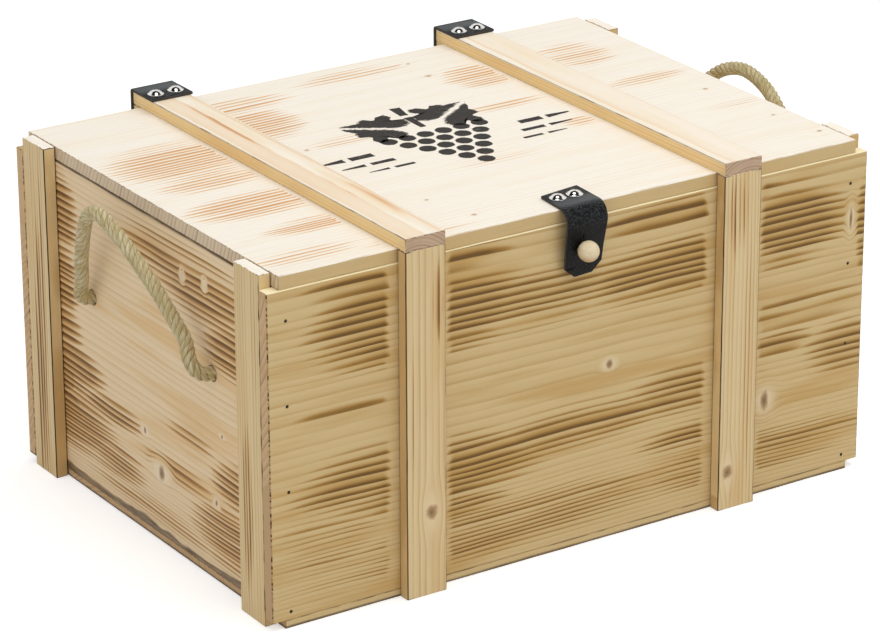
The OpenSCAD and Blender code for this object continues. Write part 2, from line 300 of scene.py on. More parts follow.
# ---------------------------------------------------------------------------------------------
# Rope handles. Each is one length of four-strand rope, 10 mm thick, that comes out of one hole
# of the end panel, stands in an arch that leans outwards, and goes back in by the other hole.

rope_d = 0.010
rope_lay = 0.0205
strands = 4
strand_r = 0.00236
strand_off = 0.00292
hole_y = 0.084
hole_z = 0.156
end_x = 0.2405
swing_x = 0.2495
inside_x = 0.2325
bend_x = 0.2425
bend_r = 0.0130
tight_bend_r = 0.0088
leg_turns = (25, 50, 75, 98)
leg_rise = 0.006
line_step = 0.0012

left_route = [
    (84, 0), (80, 7), (76, 15), (72, 25), (67, 37), (60, 50), (53, 62), (45, 74), (36, 84), (25, 90),
    (12, 90), (0, 85), (-12, 79), (-24, 71), (-36, 62), (-47, 53), (-57, 43), (-66, 33), (-73, 23),
    (-78, 14), (-82, 7), (-84, 0),
]
right_route = [
    (84, 0), (84, 9), (82, 21), (78, 34), (73, 47), (66, 60), (58, 71), (49, 82), (39, 90), (27, 95),
    (15, 97), (3, 96), (-9, 93), (-20, 89), (-31, 83), (-42, 76), (-52, 67), (-61, 57), (-69, 45),
    (-75, 33), (-80, 21), (-83, 9), (-84, 0),
]


def smooth_line(points, step):
    """A smooth line through the points, cut into steps of equal length."""
    fine = []
    for i in range(len(points) - 1):
        a, b, c, d = (Vector(points[min(max(i + k, 0), len(points) - 1)]) for k in (-1, 0, 1, 2))
        for j in range(16):
            t = j / 16
            fine.append(0.5 * (2 * b + (c - a) * t + (2 * a - 5 * b + 4 * c - d) * t ** 2
                               + (3 * b - a - 3 * c + d) * t ** 3))
    fine.append(Vector(points[-1]))
    run = [0.0]
    for a, b in zip(fine, fine[1:]):
        run.append(run[-1] + (b - a).length)
    count = round(run[-1] / step)
    line, k = [], 0
    for i in range(count + 1):
        want = run[-1] * i / count
        while k < len(fine) - 2 and run[k + 1] < want:
            k += 1
        line.append(fine[k].lerp(fine[k + 1], (want - run[k]) / (run[k + 1] - run[k])))
    return line


def line_length(line):
    return sum((b - a).length for a, b in zip(line, line[1:]))


def handle_line(end, lean, route):
    """The rope's middle line from the inside of one hole to the inside of the other."""
    up_after = bend_r / math.cos(lean) + leg_rise
    arch = [(y * 0.001, s * 0.001) for y, s in route if s * 0.001 > up_after]

    def leg(side, foot, radius):
        """The bend out of a hole, which leans over to the arch's first point, foot."""
        points = [(end * inside_x, side * hole_y, hole_z), (end * end_x, side * hole_y, hole_z)]
        for degrees in leg_turns:
            turn = math.radians(degrees)
            rise = radius * (1 - math.cos(turn))
            share = (rise / foot[1]) ** 1.3
            points.append((
                end * (bend_x + radius * math.sin(turn)),
                side * hole_y + (foot[0] - side * hole_y) * share,
                hole_z + rise,
            ))
        return points

    middle = [
        (end * (swing_x + s * math.sin(lean)), y, hole_z + s * math.cos(lean)) for y, s in arch
    ]
    return smooth_line([*leg(1, arch[0], tight_bend_r if end < 0 else bend_r), *middle,
                        *reversed(leg(-1, arch[-1], bend_r))], line_step)


def laid_rope(name, line):
    """Strands that turn round the line, as one mesh. "hollow" says how near a point is to
    the rope's middle, and the UV map runs along and round each strand."""
    curve = bpy.data.curves.new(name, "CURVE")
    curve.dimensions = "3D"
    curve.bevel_depth = strand_r
    curve.bevel_resolution = 5
    curve.use_fill_caps = True
    ways = [(line[min(i + 1, len(line) - 1)] - line[max(i - 1, 0)]).normalized()
            for i in range(len(line))]
    across = [ways[0].orthogonal().normalized()]
    for way in ways[1:]:
        across.append((across[-1] - across[-1].project(way)).normalized())
    step = (line[1] - line[0]).length
    for strand in range(strands):
        spline = curve.splines.new("POLY")
        spline.points.add(len(line) - 1)
        for i, point in enumerate(line):
            turn = math.tau * (i * step / rope_lay + strand / strands)
            out = math.cos(turn) * across[i] + math.sin(turn) * ways[i].cross(across[i])
            spline.points[i].co = (*(point + strand_off * out), 1)
    made = bpy.data.objects.new(name, curve)
    bpy.context.scene.collection.objects.link(made)
    mesh = bpy.data.meshes.new_from_object(
        made.evaluated_get(bpy.context.evaluated_depsgraph_get()))
    bpy.data.objects.remove(made)
    rope = bpy.data.objects.new(name, mesh)
    mesh.name = name
    bpy.context.scene.collection.objects.link(rope)
    hollow = mesh.attributes.new("hollow", "FLOAT", "POINT")
    tree = KDTree(len(line))
    for i, point in enumerate(line):
        tree.insert(point, i)
    tree.balance()
    for v in mesh.vertices:
        hollow.data[v.index].value = 1 - min(tree.find(v.co)[2] / (rope_d / 2), 1)
    mesh.shade_smooth()
    return rope


def rope_finish(length):
    """Hemp for a rope of this length, with its fibres along the UV map's strands."""
    finish = Finish("hemp_rope", roughness=0.85, specular=0.25)
    u, v, _ = finish.split(finish.add("ShaderNodeUVMap").outputs[0])
    along = finish.times(u, length * 1000)
    around = finish.times(v, math.tau * strand_r * 1000)
    slant = finish.plus(around, finish.times(along, 0.55))
    yarn = finish.join(along, slant, 0.0)
    fibre = finish.noise(yarn, (5.0, 0.28, 1.0), 1, detail=3, roughness=0.6)
    yarns = finish.noise(yarn, (14.0, 1.3, 1.0), 2, detail=2)
    patch = finish.noise(finish.join(along, around, 0.0), (18.0, 16.0, 1.0), 3)
    hollow = finish.add("ShaderNodeAttribute", attribute_name="hollow").outputs["Fac"]
    colour = finish.mix(finish.ramp(yarns, (0.36, 0.0), (0.64, 1.0)),
                        paint("#D6C48F"), paint("#FBF2D4"))
    colour = finish.mix(finish.ramp(fibre, (0.35, 0.0), (0.65, 1.0)),
                        finish.mix(1.0, colour, (0.52, 0.45, 0.27, 1), "MULTIPLY"), colour)
    colour = finish.mix(finish.times(patch, 0.35), colour, paint("#AC9A5E"))
    # Painted shade: the grooves between the strands are painted dark, deepest nearest the rope's
    # middle.
    colour = finish.mix(finish.fade(hollow, 0.04, 0.32), colour, paint("#544316"))
    finish.surface("Base Color", colour)
    height = finish.plus(finish.times(fibre, 0.6), yarns)
    finish.surface("Normal", finish.relief(height, 0.75))
    finish.surface("Sheen Weight", 0.25)
    finish.surface("Sheen Roughness", 0.5)
    return finish.material


for side_name, end, lean, route in (
    ("left", -1, math.radians(12), left_route),
    ("right", 1, math.radians(20), right_route),
):
    line = handle_line(end, lean, route)
    length = line_length(line)
    rope = laid_rope(f"{side_name}_rope", line)
    rope.data.materials.append(rope_finish(length))
    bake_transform(rope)
    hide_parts(f"{side_name}_rope_handle")

# ---------------------------------------------------------------------------------------------
# Front and back panels. Each is one wide board of spruce, 10 mm thick, with its grain along the
# crate. It was scorched with a flame and brushed, so that the hard late wood stands out dark.


edge_wander = 0.00015
cut_gap = 0.012


def plank(name, node, grain, arris, seed):
    """A board in the place of a CAD node. Its edges wander a little and are softened, its ends
    have the second material, and "arris" marks the softened edges."""
    low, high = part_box(node)
    along = "xyz".index(grain)
    draw = random.Random(seed)
    board = bmesh.new()
    bmesh.ops.create_cube(board, size=1)
    bmesh.ops.scale(board, vec=high - low, verts=board.verts)
    bmesh.ops.translate(board, vec=(high + low) / 2, verts=board.verts)
    cuts = max(2, round((high - low)[along] / cut_gap))
    axis = Vector((0, 0, 0))
    axis[along] = 1
    for i in range(1, cuts):
        middle = low + (high - low) * (i / cuts)
        bmesh.ops.bisect_plane(board, geom=board.verts[:] + board.edges[:] + board.faces[:],
                               plane_co=middle, plane_no=axis)
    centre = (low + high) / 2
    for v in board.verts:
        for k in range(3):
            inwards = -edge_wander if v.co[k] > centre[k] else edge_wander
            v.co[k] += inwards * draw.random() ** 2
    edge_mark = board.faces.layers.float.new("arris")
    sharp = [e for e in board.edges if e.is_manifold and e.calc_face_angle() > 1]
    softened = bmesh.ops.bevel(board, geom=sharp, offset=arris, affect="EDGES", segments=2,
                               profile=0.5, material=-1)
    for face in softened["faces"]:
        face[edge_mark] = 1.0
    for face in board.faces:
        if abs(face.normal[along]) > 0.9:
            face.material_index = 1
    made = as_object(name, board)
    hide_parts(node)
    return made


def bend_round_knots(f, wood, level, knots, slope):
    """Bends the rings round each knot. Returns the level and the marks: for each knot, the
    place from its middle, its wide surroundings, its two radii and its strength."""
    marks = []
    for along, across, long_r, cross_r, *strength in knots:
        off = f.vector("SUBTRACT", wood, (along, across, 0))
        near = f.ellipse(off, long_r * 6, cross_r * 2.8)
        push = f.fade(near, 0.0, 1.0, 0.85, 0.0)
        level = f.add("ShaderNodeMix", push, None, level, across + slope * along,
                      data_type="FLOAT").outputs[0]
        marks.append((off, near, long_r, cross_r, *(strength or [0.8])))
    return level, marks


def tree_rings(f, level, widths, seed):
    """The number of the ring at a level, the place in it from 0 to 1, and the ring's luck."""
    growth = 0.0
    for (start, wide), (stop, narrow) in zip(widths, widths[1:]):
        rings = abs(stop - start) / ((wide + narrow) / 2)
        growth = f.plus(growth, f.add(
            "ShaderNodeMapRange", level, start, stop, 0.0, rings, clamp=True).outputs[0])
    uneven = f.noise(f.join(0.0, growth, 0.0), (1, 2.3, 1), seed + 2, detail=1)
    years = f.plus(growth, f.times(uneven, 0.9))
    ring = f.math("FLOOR", years)
    luck = f.add("ShaderNodeTexWhiteNoise", noise_dimensions="1D")
    f.feed(luck.inputs["W"], ring)
    return ring, f.math("FRACT", years), luck.outputs["Value"]


def flame(f, wood, ring, luck, burns, margins, marks, seed):
    """How strongly the flame reached a place, from 0 to 1, with ragged ends ring by ring."""
    u = f.split(wood)[0]
    burn = 0.0
    for along, across, long_r, cross_r, strength in burns:
        reach = f.ellipse(f.vector("SUBTRACT", wood, (along, across, 0)), long_r, cross_r)
        burn = f.larger(burn, f.fade(reach, 0.25, 1.15, strength, 0.0))
    tails = f.noise(f.join(u, ring, 0.0), (85, 1.0, 1), seed + 6, detail=1)
    burn = f.times(burn, f.plus(f.scaled(tails, 1.5, 0.05), f.times(luck, 0.5)))
    for centre, half, soft in margins:
        off = f.minus(f.math("ABSOLUTE", f.minus(u, centre)), half)
        off = f.scaled(luck, -3.0, off)
        burn = f.times(burn, f.fade(off, soft[0], soft[1]))
    for _, near, *_ in marks:
        burn = f.times(burn, f.fade(near, 0.35, 0.9))
    return burn


def scorch(f, colour, burn, phase, blunt, tones, thick, dark, glow):
    """Colours the late wood that the flame reached, and returns its relief too."""
    start = f.scaled(burn, -thick, 0.86)
    into = f.math("DIVIDE", f.minus(phase, start), f.minus(1.0, start))
    band = f.times(f.fade(into, -0.45, 0.5), blunt)
    crisp = f.times(f.fade(into, -0.1, 0.7), band)
    shade = f.times(band, f.fade(burn, 0.08, 0.5), clamp=True)
    deep = f.times(f.times(crisp, f.fade(burn, 0.2, 0.9)), dark)
    colour = f.mix(f.fade(burn, 0.2, 1.0, 0.0, glow), colour, tones["cloud"])
    colour = f.mix(shade, colour, f.mix(deep, tones["scorched"], tones["burnt"]))
    colour = f.mix(f.times(f.fade(deep, 0.6, 1.0), 0.5 * dark), colour, tones["black"])
    return colour, f.times(shade, crisp)


def colour_knots(f, colour, wood, marks, tones, seed):
    """Each knot is a pale halo, a ringed heart and a dark middle."""
    for off, near, long_r, cross_r, strength in marks:
        rough = f.scaled(f.noise(wood, (long_r * 0.8, cross_r * 0.8, 4), seed + 8), 0.7, -0.35)
        radius = f.plus(rough, f.ellipse(off, long_r * 1.1, cross_r))
        rings = f.scaled(f.math("SINE", f.times(radius, 16)), 0.5, 0.5)
        heart = f.mix(f.times(rings, 0.4), tones["knot"], tones["burnt"])
        heart = f.mix(f.fade(radius, 0.1, 0.45, 0.9, 0.0), heart, tones["black"])
        colour = f.mix(f.fade(near, 0.15, 0.7, 0.8, 0.0), colour, tones["halo"])
        colour = f.mix(f.fade(radius, 0.45, 1.2, strength, 0.0), colour, heart)
    return colour


def colour_edges(f, colour, wood, xyz, edges, edge_burn, edge_tone, seed):
    """Burns the arrises, all of them in patches or those that edges names."""
    arris = f.add("ShaderNodeAttribute", attribute_name="arris").outputs["Fac"]
    patchy = f.fade(f.noise(wood, (26, 3, 3), seed + 10, detail=3), 0.42, 0.6)
    burnt = 0.0
    for axis, none, full, unbroken in edges:
        whole = f.larger(patchy, unbroken)
        burnt = f.larger(burnt, f.times(f.fade(xyz[axis], none, full), whole))
    arris = f.times(f.times(arris, burnt if edges else patchy), edge_burn)
    return f.mix(arris, colour, paint(edge_tone))


def spruce(name, axes, pith, widths, tones, burns=(), knots=(), margins=(), slope=0.0, seed=1,
           wave=12.0, ripple=2.0, contrast=0.6, clouds=0.5, char_and_shade=(), edge_burn=0.6, relief=0.25,
           edge_tone="#3E2812", edges=(), painted_top_highlight=None, thick=0.6, dark=1.0, glow=0.5, side=None,
           flamed=None):
    """Softwood in millimetres. axes names the axes along the grain, across it and into the
    board, and pith is the middle of the tree across and into the board, or None on a sawn face
    whose rings lie as widths says: (place across, distance between two rings), in order. burns
    are (along, across, reach along, reach across, strength), knots (along, across, two radii,
    and the heart's strength where it is faint), margins the unburnt strips beside the battens
    (middle, half width, how soft), char the dark strips, charred edges in some places and
    painted shade under the lid in others (axis, full at, gone at, waviness, strength), and side
    a painted shade that tints the faces up to from, fading out by to (axis, from, to, tint).
    edges are the burnt arrises: (axis, not burnt at, burnt at, how unbroken), or else all of
    them, and bare is (axis, from, to) of a top face that is painted almost white as a painted
    highlight. flamed is the depth (from, to) at which the flame reached the wood, where only the
    outside was scorched. wave and ripple say how far the rings wander, contrast and clouds how
    strong late wood and warm patches are, and thick, dark and glow how much the flame widened,
    darkened and tinted the rings."""
    f = Finish(name, roughness=0.55, specular=0.3)
    tones = {part: paint(colour) for part, colour in tones.items()}
    xyz = dict(zip("xyz", f.split(f.object_place())))
    u, v, w = (xyz[a] for a in axes)
    wood = f.join(u, v, w)
    drift = f.scaled(f.noise(wood, (300, 90, 90), seed), wave, -wave / 2)
    small = f.scaled(f.noise(wood, (90, 22, 30), seed + 1), ripple, -ripple / 2)
    level = f.plus(f.scaled(u, slope, v), f.plus(drift, small))
    level, marks = bend_round_knots(f, wood, level, knots, slope)
    if pith:
        level = f.vector("LENGTH", f.join(f.minus(level, pith[0]), f.minus(w, pith[1]), 0.0))
    ring, phase, luck = tree_rings(f, level, widths, seed)
    blunt = f.fade(phase, 0.91, 1.0, 1.0, 0.0)
    late = f.times(f.ramp(phase, (0.1, 0.0), (0.6, 0.3), (0.9, 1.0)), blunt)
    along_gain = f.noise(f.join(u, ring, 0.0), (110, 1.0, 1), seed + 3, detail=1)
    gain = f.times(f.scaled(luck, 0.6, 0.4), f.scaled(along_gain, 1.4, 0.3))
    late = f.times(late, gain, clamp=True)
    fibre = f.noise(wood, (40, 0.6, 0.8), seed + 4, detail=3, roughness=0.65)
    pores = f.noise(wood, (9, 0.35, 0.5), seed + 12, detail=2, roughness=0.6)
    cloud = f.fade(f.noise(wood, (140, 14, 60), seed + 5), 0.48, 0.72)

    colour = f.mix(f.times(late, contrast), tones["early"], tones["late"])
    colour = f.mix(f.times(cloud, clouds), colour, tones["cloud"])
    height = f.times(late, 0.5)
    if burns:
        burn = flame(f, wood, ring, luck, burns, margins, marks, seed)
        if flamed:
            burn = f.times(burn, f.fade(w, *flamed))
        burn = f.math("MINIMUM", burn, 1.0, clamp=True)
        colour, ridge = scorch(f, colour, burn, phase, blunt, tones, thick, dark, glow)
        height = f.larger(height, ridge)
    grain_shade = f.plus(f.scaled(fibre, 0.16, 0.87), f.times(pores, 0.10))
    colour = f.mix(1.0, colour, f.join(grain_shade, grain_shade, grain_shade), "MULTIPLY")
    colour = colour_knots(f, colour, wood, marks, tones, seed)
    # char darkens strips along an axis: charred edges, and painted shade where a strip lies under
    # the lid.
    for axis, low, high, waviness, strength in char_and_shade:
        waves = f.noise(wood, (55, 12, 12), seed + 9, detail=2)
        edge = f.scaled(waves, waviness, f.minus(xyz[axis], waviness / 2))
        film = f.scaled(f.noise(wood, (18, 3, 3), seed + 13, detail=3), 0.7, 0.5)
        film = f.times(film, f.fade(edge, low, high, strength, 0.0), clamp=True)
        colour = f.mix(film, colour, tones["black"])
    # side tints the faces up to its from darker than the rest: painted shade, where less light
    # falls.
    if side:
        axis, low, high, tint = side
        tinted = f.mix(1.0, colour, paint(tint), "MULTIPLY")
        colour = f.mix(f.fade(xyz[axis], low, high), tinted, colour)
    colour = colour_edges(f, colour, wood, xyz, edges, edge_burn, edge_tone, seed)
    # bare paints a top face almost white: a painted highlight of the light from above.
    if painted_top_highlight:
        axis, none, full = painted_top_highlight
        colour = f.mix(f.fade(xyz[axis], none, full), colour, paint("#FFF2C8"))
    f.surface("Base Color", colour)
    height = f.scaled(fibre, 0.22, height)
    f.surface("Normal", f.relief(height, relief))
    f.surface("Roughness", f.scaled(late, -0.12, 0.64))
    return f.material


panel_tones = dict(early="#D8BE8B", late="#B68E4E", cloud="#C09448", scorched="#AA8038",
                   burnt="#6E4D1E", black="#442E12", knot="#96683A", halo="#E6D3AE")
end_tones = dict(panel_tones, early="#D3B084", late="#A07C52", cloud="#BF9A6C")


def finish_board(board, body, long_grain, end_grain):
    """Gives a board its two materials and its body."""
    board.data.materials.append(long_grain)
    board.data.materials.append(end_grain)
    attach(board, body)


front = plank("front_board", "front_panel", "x", arris=0.0008, seed=3)
front_rings = ((262, 8.5), (222, 7.0), (200, 5.6), (168, 5.8), (150, 9.0), (128, 7.6),
               (110, 6.2), (84, 5.0), (60, 4.2), (-10, 2.8))
front_burns = (
    (-158, 205, 75, 42, 1.0), (-175, 236, 60, 12, 0.9), (-165, 92, 85, 34, 0.75),
    (-190, 150, 50, 6, 0.7),
    (-112, 198, 95, 36, 1.0), (-105, 238, 60, 12, 0.9), (-40, 195, 110, 26, 0.75),
    (92, 192, 125, 27, 0.95), (95, 232, 105, 13, 1.0),
    (-110, 84, 110, 30, 0.95), (0, 92, 120, 22, 0.75), (95, 98, 80, 26, 0.75),
    (105, 60, 70, 16, 0.7), (-105, 55, 60, 14, 0.7),
    (185, 203, 60, 40, 1.0), (190, 136, 90, 16, 0.6), (172, 114, 44, 12, 0.8),
    (235, 100, 50, 26, 0.75),
    (249, 190, 9, 45, 0.9), (-60, 32, 200, 26, 0.6), (150, 34, 150, 24, 0.6),
    (-205, 60, 60, 60, 0.35),
)
batten_x = 0.132
batten_margins = tuple((side * batten_x * 1000, 16, (3, 11)) for side in (-1, 1))
front_knots = ((26, 132, 2.6, 4), (163, 72, 3.4, 8), (237, 196, 1.3, 9))
finish_board(
    front, "box",
    spruce("front_panel_spruce", "xzy", None, front_rings, panel_tones,
           front_burns, front_knots, batten_margins, slope=0.008, seed=11,
           edge_burn=1.0, edges=(("x", -248, -249, 0.25), ("x", 248, 249, 0.0)),
           # bare paints the top face and top arris almost white: a painted highlight from the lamp
           # above.
           painted_top_highlight=("z", 244.1, 244.6), dark=0.85, flamed=(-166, -172)),
    spruce("front_panel_end", "xzy", (330, 60), ((95, 7.6), (320, 1.9)), end_tones, seed=11,
           contrast=0.9, edge_burn=1.0, edges=(("y", -172, -173, 0.25),)))

back = plank("back_board", "back_panel", "x", arris=0.0008, seed=4)
back_burns = (
    (-160, 200, 80, 40, 0.9), (-110, 70, 120, 34, 0.8), (-60, 210, 110, 22, 0.9),
    (90, 180, 100, 30, 0.95), (105, 95, 90, 26, 0.8), (190, 215, 70, 30, 0.9),
    (200, 120, 70, 30, 0.85), (0, 140, 80, 14, 0.6), (-220, 110, 50, 24, 0.8), (0, 16, 280, 9, 0.5),
)
finish_board(
    back, "box",
    spruce("back_panel_spruce", "xzy", None,
           ((-10, 7.0), (60, 6.0), (100, 4.5), (140, 6.5), (190, 4.5), (255, 3.4)), panel_tones,
           back_burns, ((-30, 110, 5, 5), (205, 165, 4, 4), (-195, 62, 6, 6)), batten_margins,
           slope=-0.006, seed=23, char_and_shade=(("z", 7, 9, 5, 0.9),), flamed=(166, 172)),
    spruce("back_panel_end", "xzy", (-120, -50), ((125, 6.5), (370, 2.6)), end_tones, seed=23,
           contrast=0.9, char_and_shade=(("z", 7, 9, 3, 0.8),), edge_burn=1.0))

# ---------------------------------------------------------------------------------------------
# End panels. Each is a spruce board with its grain across the crate, held between the front and
# the back by nails, and bored with two 12 mm holes for its rope.

rope_hole_d = 0.012
end_middle_x = 0.2355
drill_l = 0.03
# The end panels' tones are pinker than the front's, and partly brighter as painted light on the left
# end, in place of a stronger left lamp.
end_panel_tones = dict(panel_tones, early="#EED6B0", late="#CFA468", cloud="#DCAE66",
                       scorched="#BE8E4C", burnt="#744C26", black="#40280F", halo="#F3E1C4")


def cut_away(piece, tool, crossing=False):
    """Takes the shape of a bmesh, whose parts may cross, out of a finished piece."""
    cutter = as_object("cutter", tool)
    cut = piece.modifiers.new("cut", "BOOLEAN")
    cut.object = cutter
    cut.solver = "EXACT"
    cut.use_self = crossing
    left = bpy.data.meshes.new_from_object(
        piece.evaluated_get(bpy.context.evaluated_depsgraph_get()))
    piece.modifiers.clear()
    piece.data = left
    bpy.data.objects.remove(cutter)


def bore(board, places, axis, diameter, depth):
    """Cuts round holes through a finished board."""
    drill = bmesh.new()
    turn = Vector((0, 0, 1)).rotation_difference(Vector(axis)).to_matrix().to_4x4()
    for place in places:
        made = bmesh.ops.create_cone(drill, cap_ends=True, segments=40, radius1=diameter / 2,
                                     radius2=diameter / 2, depth=depth)
        bmesh.ops.transform(drill, matrix=Matrix.Translation(place) @ turn, verts=made["verts"])
    cut_away(board, drill)


for side_name, end, widths, burns, knots, seed in (
    ("left", -1, ((-10, 3.0), (60, 3.4), (95, 5.5), (130, 6.5), (160, 4.4), (250, 5.6)), (
        (-80, 208, 92, 30, 0.72), (-10, 218, 85, 14, 0.7), (-112, 178, 48, 26, 1.0),
        (-40, 234, 120, 9, 0.5),
        (128, 205, 32, 40, 1.0), (130, 155, 30, 38, 1.0), (128, 120, 34, 20, 0.9),
        (124, 92, 66, 24, 1.0), (125, 52, 92, 32, 1.0), (60, 78, 60, 14, 0.8), (60, 40, 60, 20, 0.7),
        (130, 84, 18, 18, 2.2), (126, 58, 30, 16, 1.8),
        (-116, 80, 46, 22, 0.85), (-108, 38, 74, 30, 0.85), (-30, 62, 66, 12, 0.7),
        (-50, 95, 50, 10, 0.5), (0, 22, 130, 12, 0.5),
    ), ((-9, 54, 4, 6), (13, 79, 1.8, 3), (-85, 60, 1.6, 2.6), (-95, 113, 1.4, 1.8),
        (-46, 215, 1.2, 3.6, 0.1), (-46, 219, 0.7, 0.9), (-76, 218, 1.2, 3.6, 0.1),
        (-76, 222, 0.7, 0.9)), 31),
    ("right", 1, ((-10, 5.5), (80, 4.8), (130, 3.6), (190, 5.0), (255, 6.5)), (
        (105, 150, 60, 50, 1.0), (-100, 190, 60, 40, 0.95), (0, 60, 120, 24, 0.7),
        (110, 50, 50, 30, 0.8), (-120, 90, 40, 50, 0.8),
    ), ((40, 118, 5, 5), (-52, 36, 4, 4), (-20, 205, 2, 3)), 37),
):
    panel = plank(f"{side_name}_end_board", f"{side_name}_end_panel", "y", arris=0.0005,
                  seed=seed)
    bore(panel, [(end * end_middle_x, side * hole_y, hole_z) for side in (-1, 1)], (1, 0, 0),
         rope_hole_d, drill_l)
    finish_board(
        panel, "box",
        spruce(f"{side_name}_end_spruce", "yzx", None, widths, end_panel_tones, burns, knots,
               seed=seed, wave=20, thick=0.7, dark=0.85, flamed=(end * 233, end * 239),
               # The first char strip darkens the panel's bottom in wavy patches; the second, along
               # its top under the lid, is painted shade of the gap under the lid's end.
               char_and_shade=(("z", 9, 11.5, 22, 0.9), ("z", 244.8, 243.0, 1.5, 0.9))),
        spruce(f"{side_name}_end_end", "yzx", (-150, 40), ((150, 6.0), (500, 3.0)), end_tones,
               seed=seed, contrast=0.9))

# ---------------------------------------------------------------------------------------------
# Bottom. A thinner spruce board that is nailed under the four panels. Its edges show below
# them, and its corners leave room for the corner battens.

bottom = plank("bottom_panel_board", "bottom_board", "x", arris=0.0006, seed=41)
finish_board(
    bottom, "box",
    spruce("bottom_spruce", "xyz", (60, -90), ((90, 4.2), (260, 2.6)), panel_tones,
           (), ((-120, 60, 6, 6), (90, -70, 5, 5)), seed=41,
           char_and_shade=(("z", 0.9, 2.6, 1.4, 0.95),), contrast=0.4),
    spruce("bottom_end", "xyz", (60, -90), ((90, 4.2), (260, 2.6)), end_tones, seed=41,
           contrast=0.9, char_and_shade=(("z", 1.0, 3.0, 1.6, 0.95),)))

# ---------------------------------------------------------------------------------------------
# Upright battens. Four stand in the corners, outside the end panels, and four stand on the
# front and the back. They are planed strips of pine, nailed on from inside the crate.

batten_tones = dict(early="#E4CC9E", late="#BE9658", cloud="#D2AA6C", scorched="#B98B50",
                    burnt="#7A5128", black="#35210F", knot="#9A6C40", halo="#E8D2AA")
# The battens' end grain shows on their tops and is painted almost white: painted light from the lamp
# above.
batten_end_tones = dict(batten_tones, early="#FFF8EC", late="#EDD9B8", cloud="#FBEFD8")
upright_rings = ((-18, 2.6), (-8, 4.2), (6, 3.4), (18, 2.4))
wide_rings = ((-18, 4.6), (-8, 5.4), (6, 5.2), (18, 4.4))


def about(middle, rings):
    """The rings of a batten, whose places are counted from its middle."""
    return [(middle + across, pitch) for across, pitch in rings]


for number, (name, node, axes, middle, knots, burns, edges, side) in enumerate((
    ("front_left_corner", "front_left_corner_batten", "zyx", -147.5, (),
     ((80, -144, 80, 9, 0.7), (200, -158, 60, 4, 0.3)), (("y", -150, -163, 0.2),),
     ("x", -249.4, -250.0)),
    ("front_right_corner", "front_right_corner_batten", "zyx", -147.5, (),
     ((120, -140, 90, 6, 0.5),), (("y", -140, -132, 0.4),), ("x", 249.4, 250.0)),
    ("back_left_corner", "back_left_corner_batten", "zyx", 147.5, (),
     ((90, 146, 150, 7, 0.9), (60, 152, 120, 5, 0.7), (150, 141, 120, 4, 0.6)),
     (("y", 140, 132, 1.0),), ("x", -249.4, -250.0)),
    ("back_right_corner", "back_right_corner_batten", "zyx", 147.5, (),
     ((120, 140, 120, 6, 0.6),), (("y", 140, 132, 0.6),), ("x", 249.4, 250.0)),
    ("front_left", "front_left_batten", "zxy", -132, ((62, -128, 5.5, 5),),
     ((215, -122, 40, 6, 0.6), (120, -141, 130, 4, 0.35)),
     (("x", -140, -147, 0.9), ("x", -122, -117, 0.5)), ("y", -182.4, -183.0)),
    ("front_right", "front_right_batten", "zxy", 132, ((29, 124, 5, 4.6),),
     ((225, 128, 45, 12, 0.5), (120, 140, 150, 5, 0.4)),
     (("x", 124, 117, 0.9), ("x", 140, 147, 0.9)), ("y", -182.4, -183.0)),
    ("back_left", "back_left_batten", "zxy", -132, ((180, -128, 4, 4),),
     ((100, -122, 90, 6, 0.6),), (("x", -140, -147, 0.5),), ("y", 182.4, 183.0)),
    ("back_right", "back_right_batten", "zxy", 132, ((90, 136, 4, 4),),
     ((200, 140, 70, 6, 0.6),), (("x", 140, 147, 0.5),), ("y", 182.4, 183.0)),
)):
    seed = 51 + 3 * number
    rings = wide_rings if name == "front_left" else upright_rings
    batten = plank(f"{name}_strip", node, "z", arris=0.0007, seed=seed)
    finish_board(
        batten, "box",
        spruce(f"{name}_pine", axes, None, about(middle, rings), batten_tones, burns,
               knots, seed=seed, wave=5, ripple=1.2, contrast=0.75, clouds=0.4, edge_burn=1.0,
               # side tints all faces but the outer one a little darker and warmer: painted shade.
               edges=edges, side=(*side, "#FFFAEE")),
        spruce(f"{name}_end", axes, (middle + 40, 60), ((100, 3.4), (500, 3.0)),
               batten_end_tones, seed=seed, contrast=0.6))

# ---------------------------------------------------------------------------------------------
# Lid. One wide board, planed but hardly scorched, with two battens nailed across it from below.
# Its very pale top is partly the clean wood's colour and partly painted light from the lamp above,
# and its edges carry painted shade. The battens reach over the front and the back and line up
# with the uprights.

# The lid's tones are paler than the panels': partly the clean, hardly scorched wood and partly
# painted light on the top that faces the lamp.
lid_tones = dict(early="#FAF3E6", late="#F2D9B2", cloud="#F5E2C2", scorched="#E7B980",
                 burnt="#C8864A", black="#A8703C", knot="#C2A27A", halo="#F6EBD8")
lid_end_tones = dict(lid_tones, early="#DFCAAC", late="#A68B6A", cloud="#CEB796",
                     halo="#DFCAAC", scorched="#B0936F", burnt="#7A5C3E", black="#3A2817")
lid_rings = ((-180, 6.2), (-130, 4.8), (-104, 3.4), (-84, 3.8), (-48, 5.2), (0, 5.0), (60, 4.6),
             (110, 5.2), (180, 5.6))
lid = plank("lid_panel", "lid_board", "x", arris=0.0005, seed=81)
lid_burns = (
    (-187, 56, 64, 46, 1.0), (-184, 8, 54, 20, 0.8), (-184, -48, 62, 30, 1.0),
    (-170, -102, 46, 15, 1.0), (-205, -148, 56, 16, 0.6), (-120, -158, 60, 8, 0.5),
    (-95, 92, 40, 40, 0.95), (-90, 135, 60, 20, 0.8), (-60, 30, 50, 14, 0.45),
    (95, 96, 36, 34, 0.8), (75, 30, 50, 10, 0.6), (100, -30, 20, 12, 0.7), (20, 150, 70, 14, 0.7),
    (185, 96, 36, 44, 0.6), (195, 20, 48, 14, 0.6), (215, -60, 40, 8, 0.4), (10, -60, 60, 20, 0.3),
)
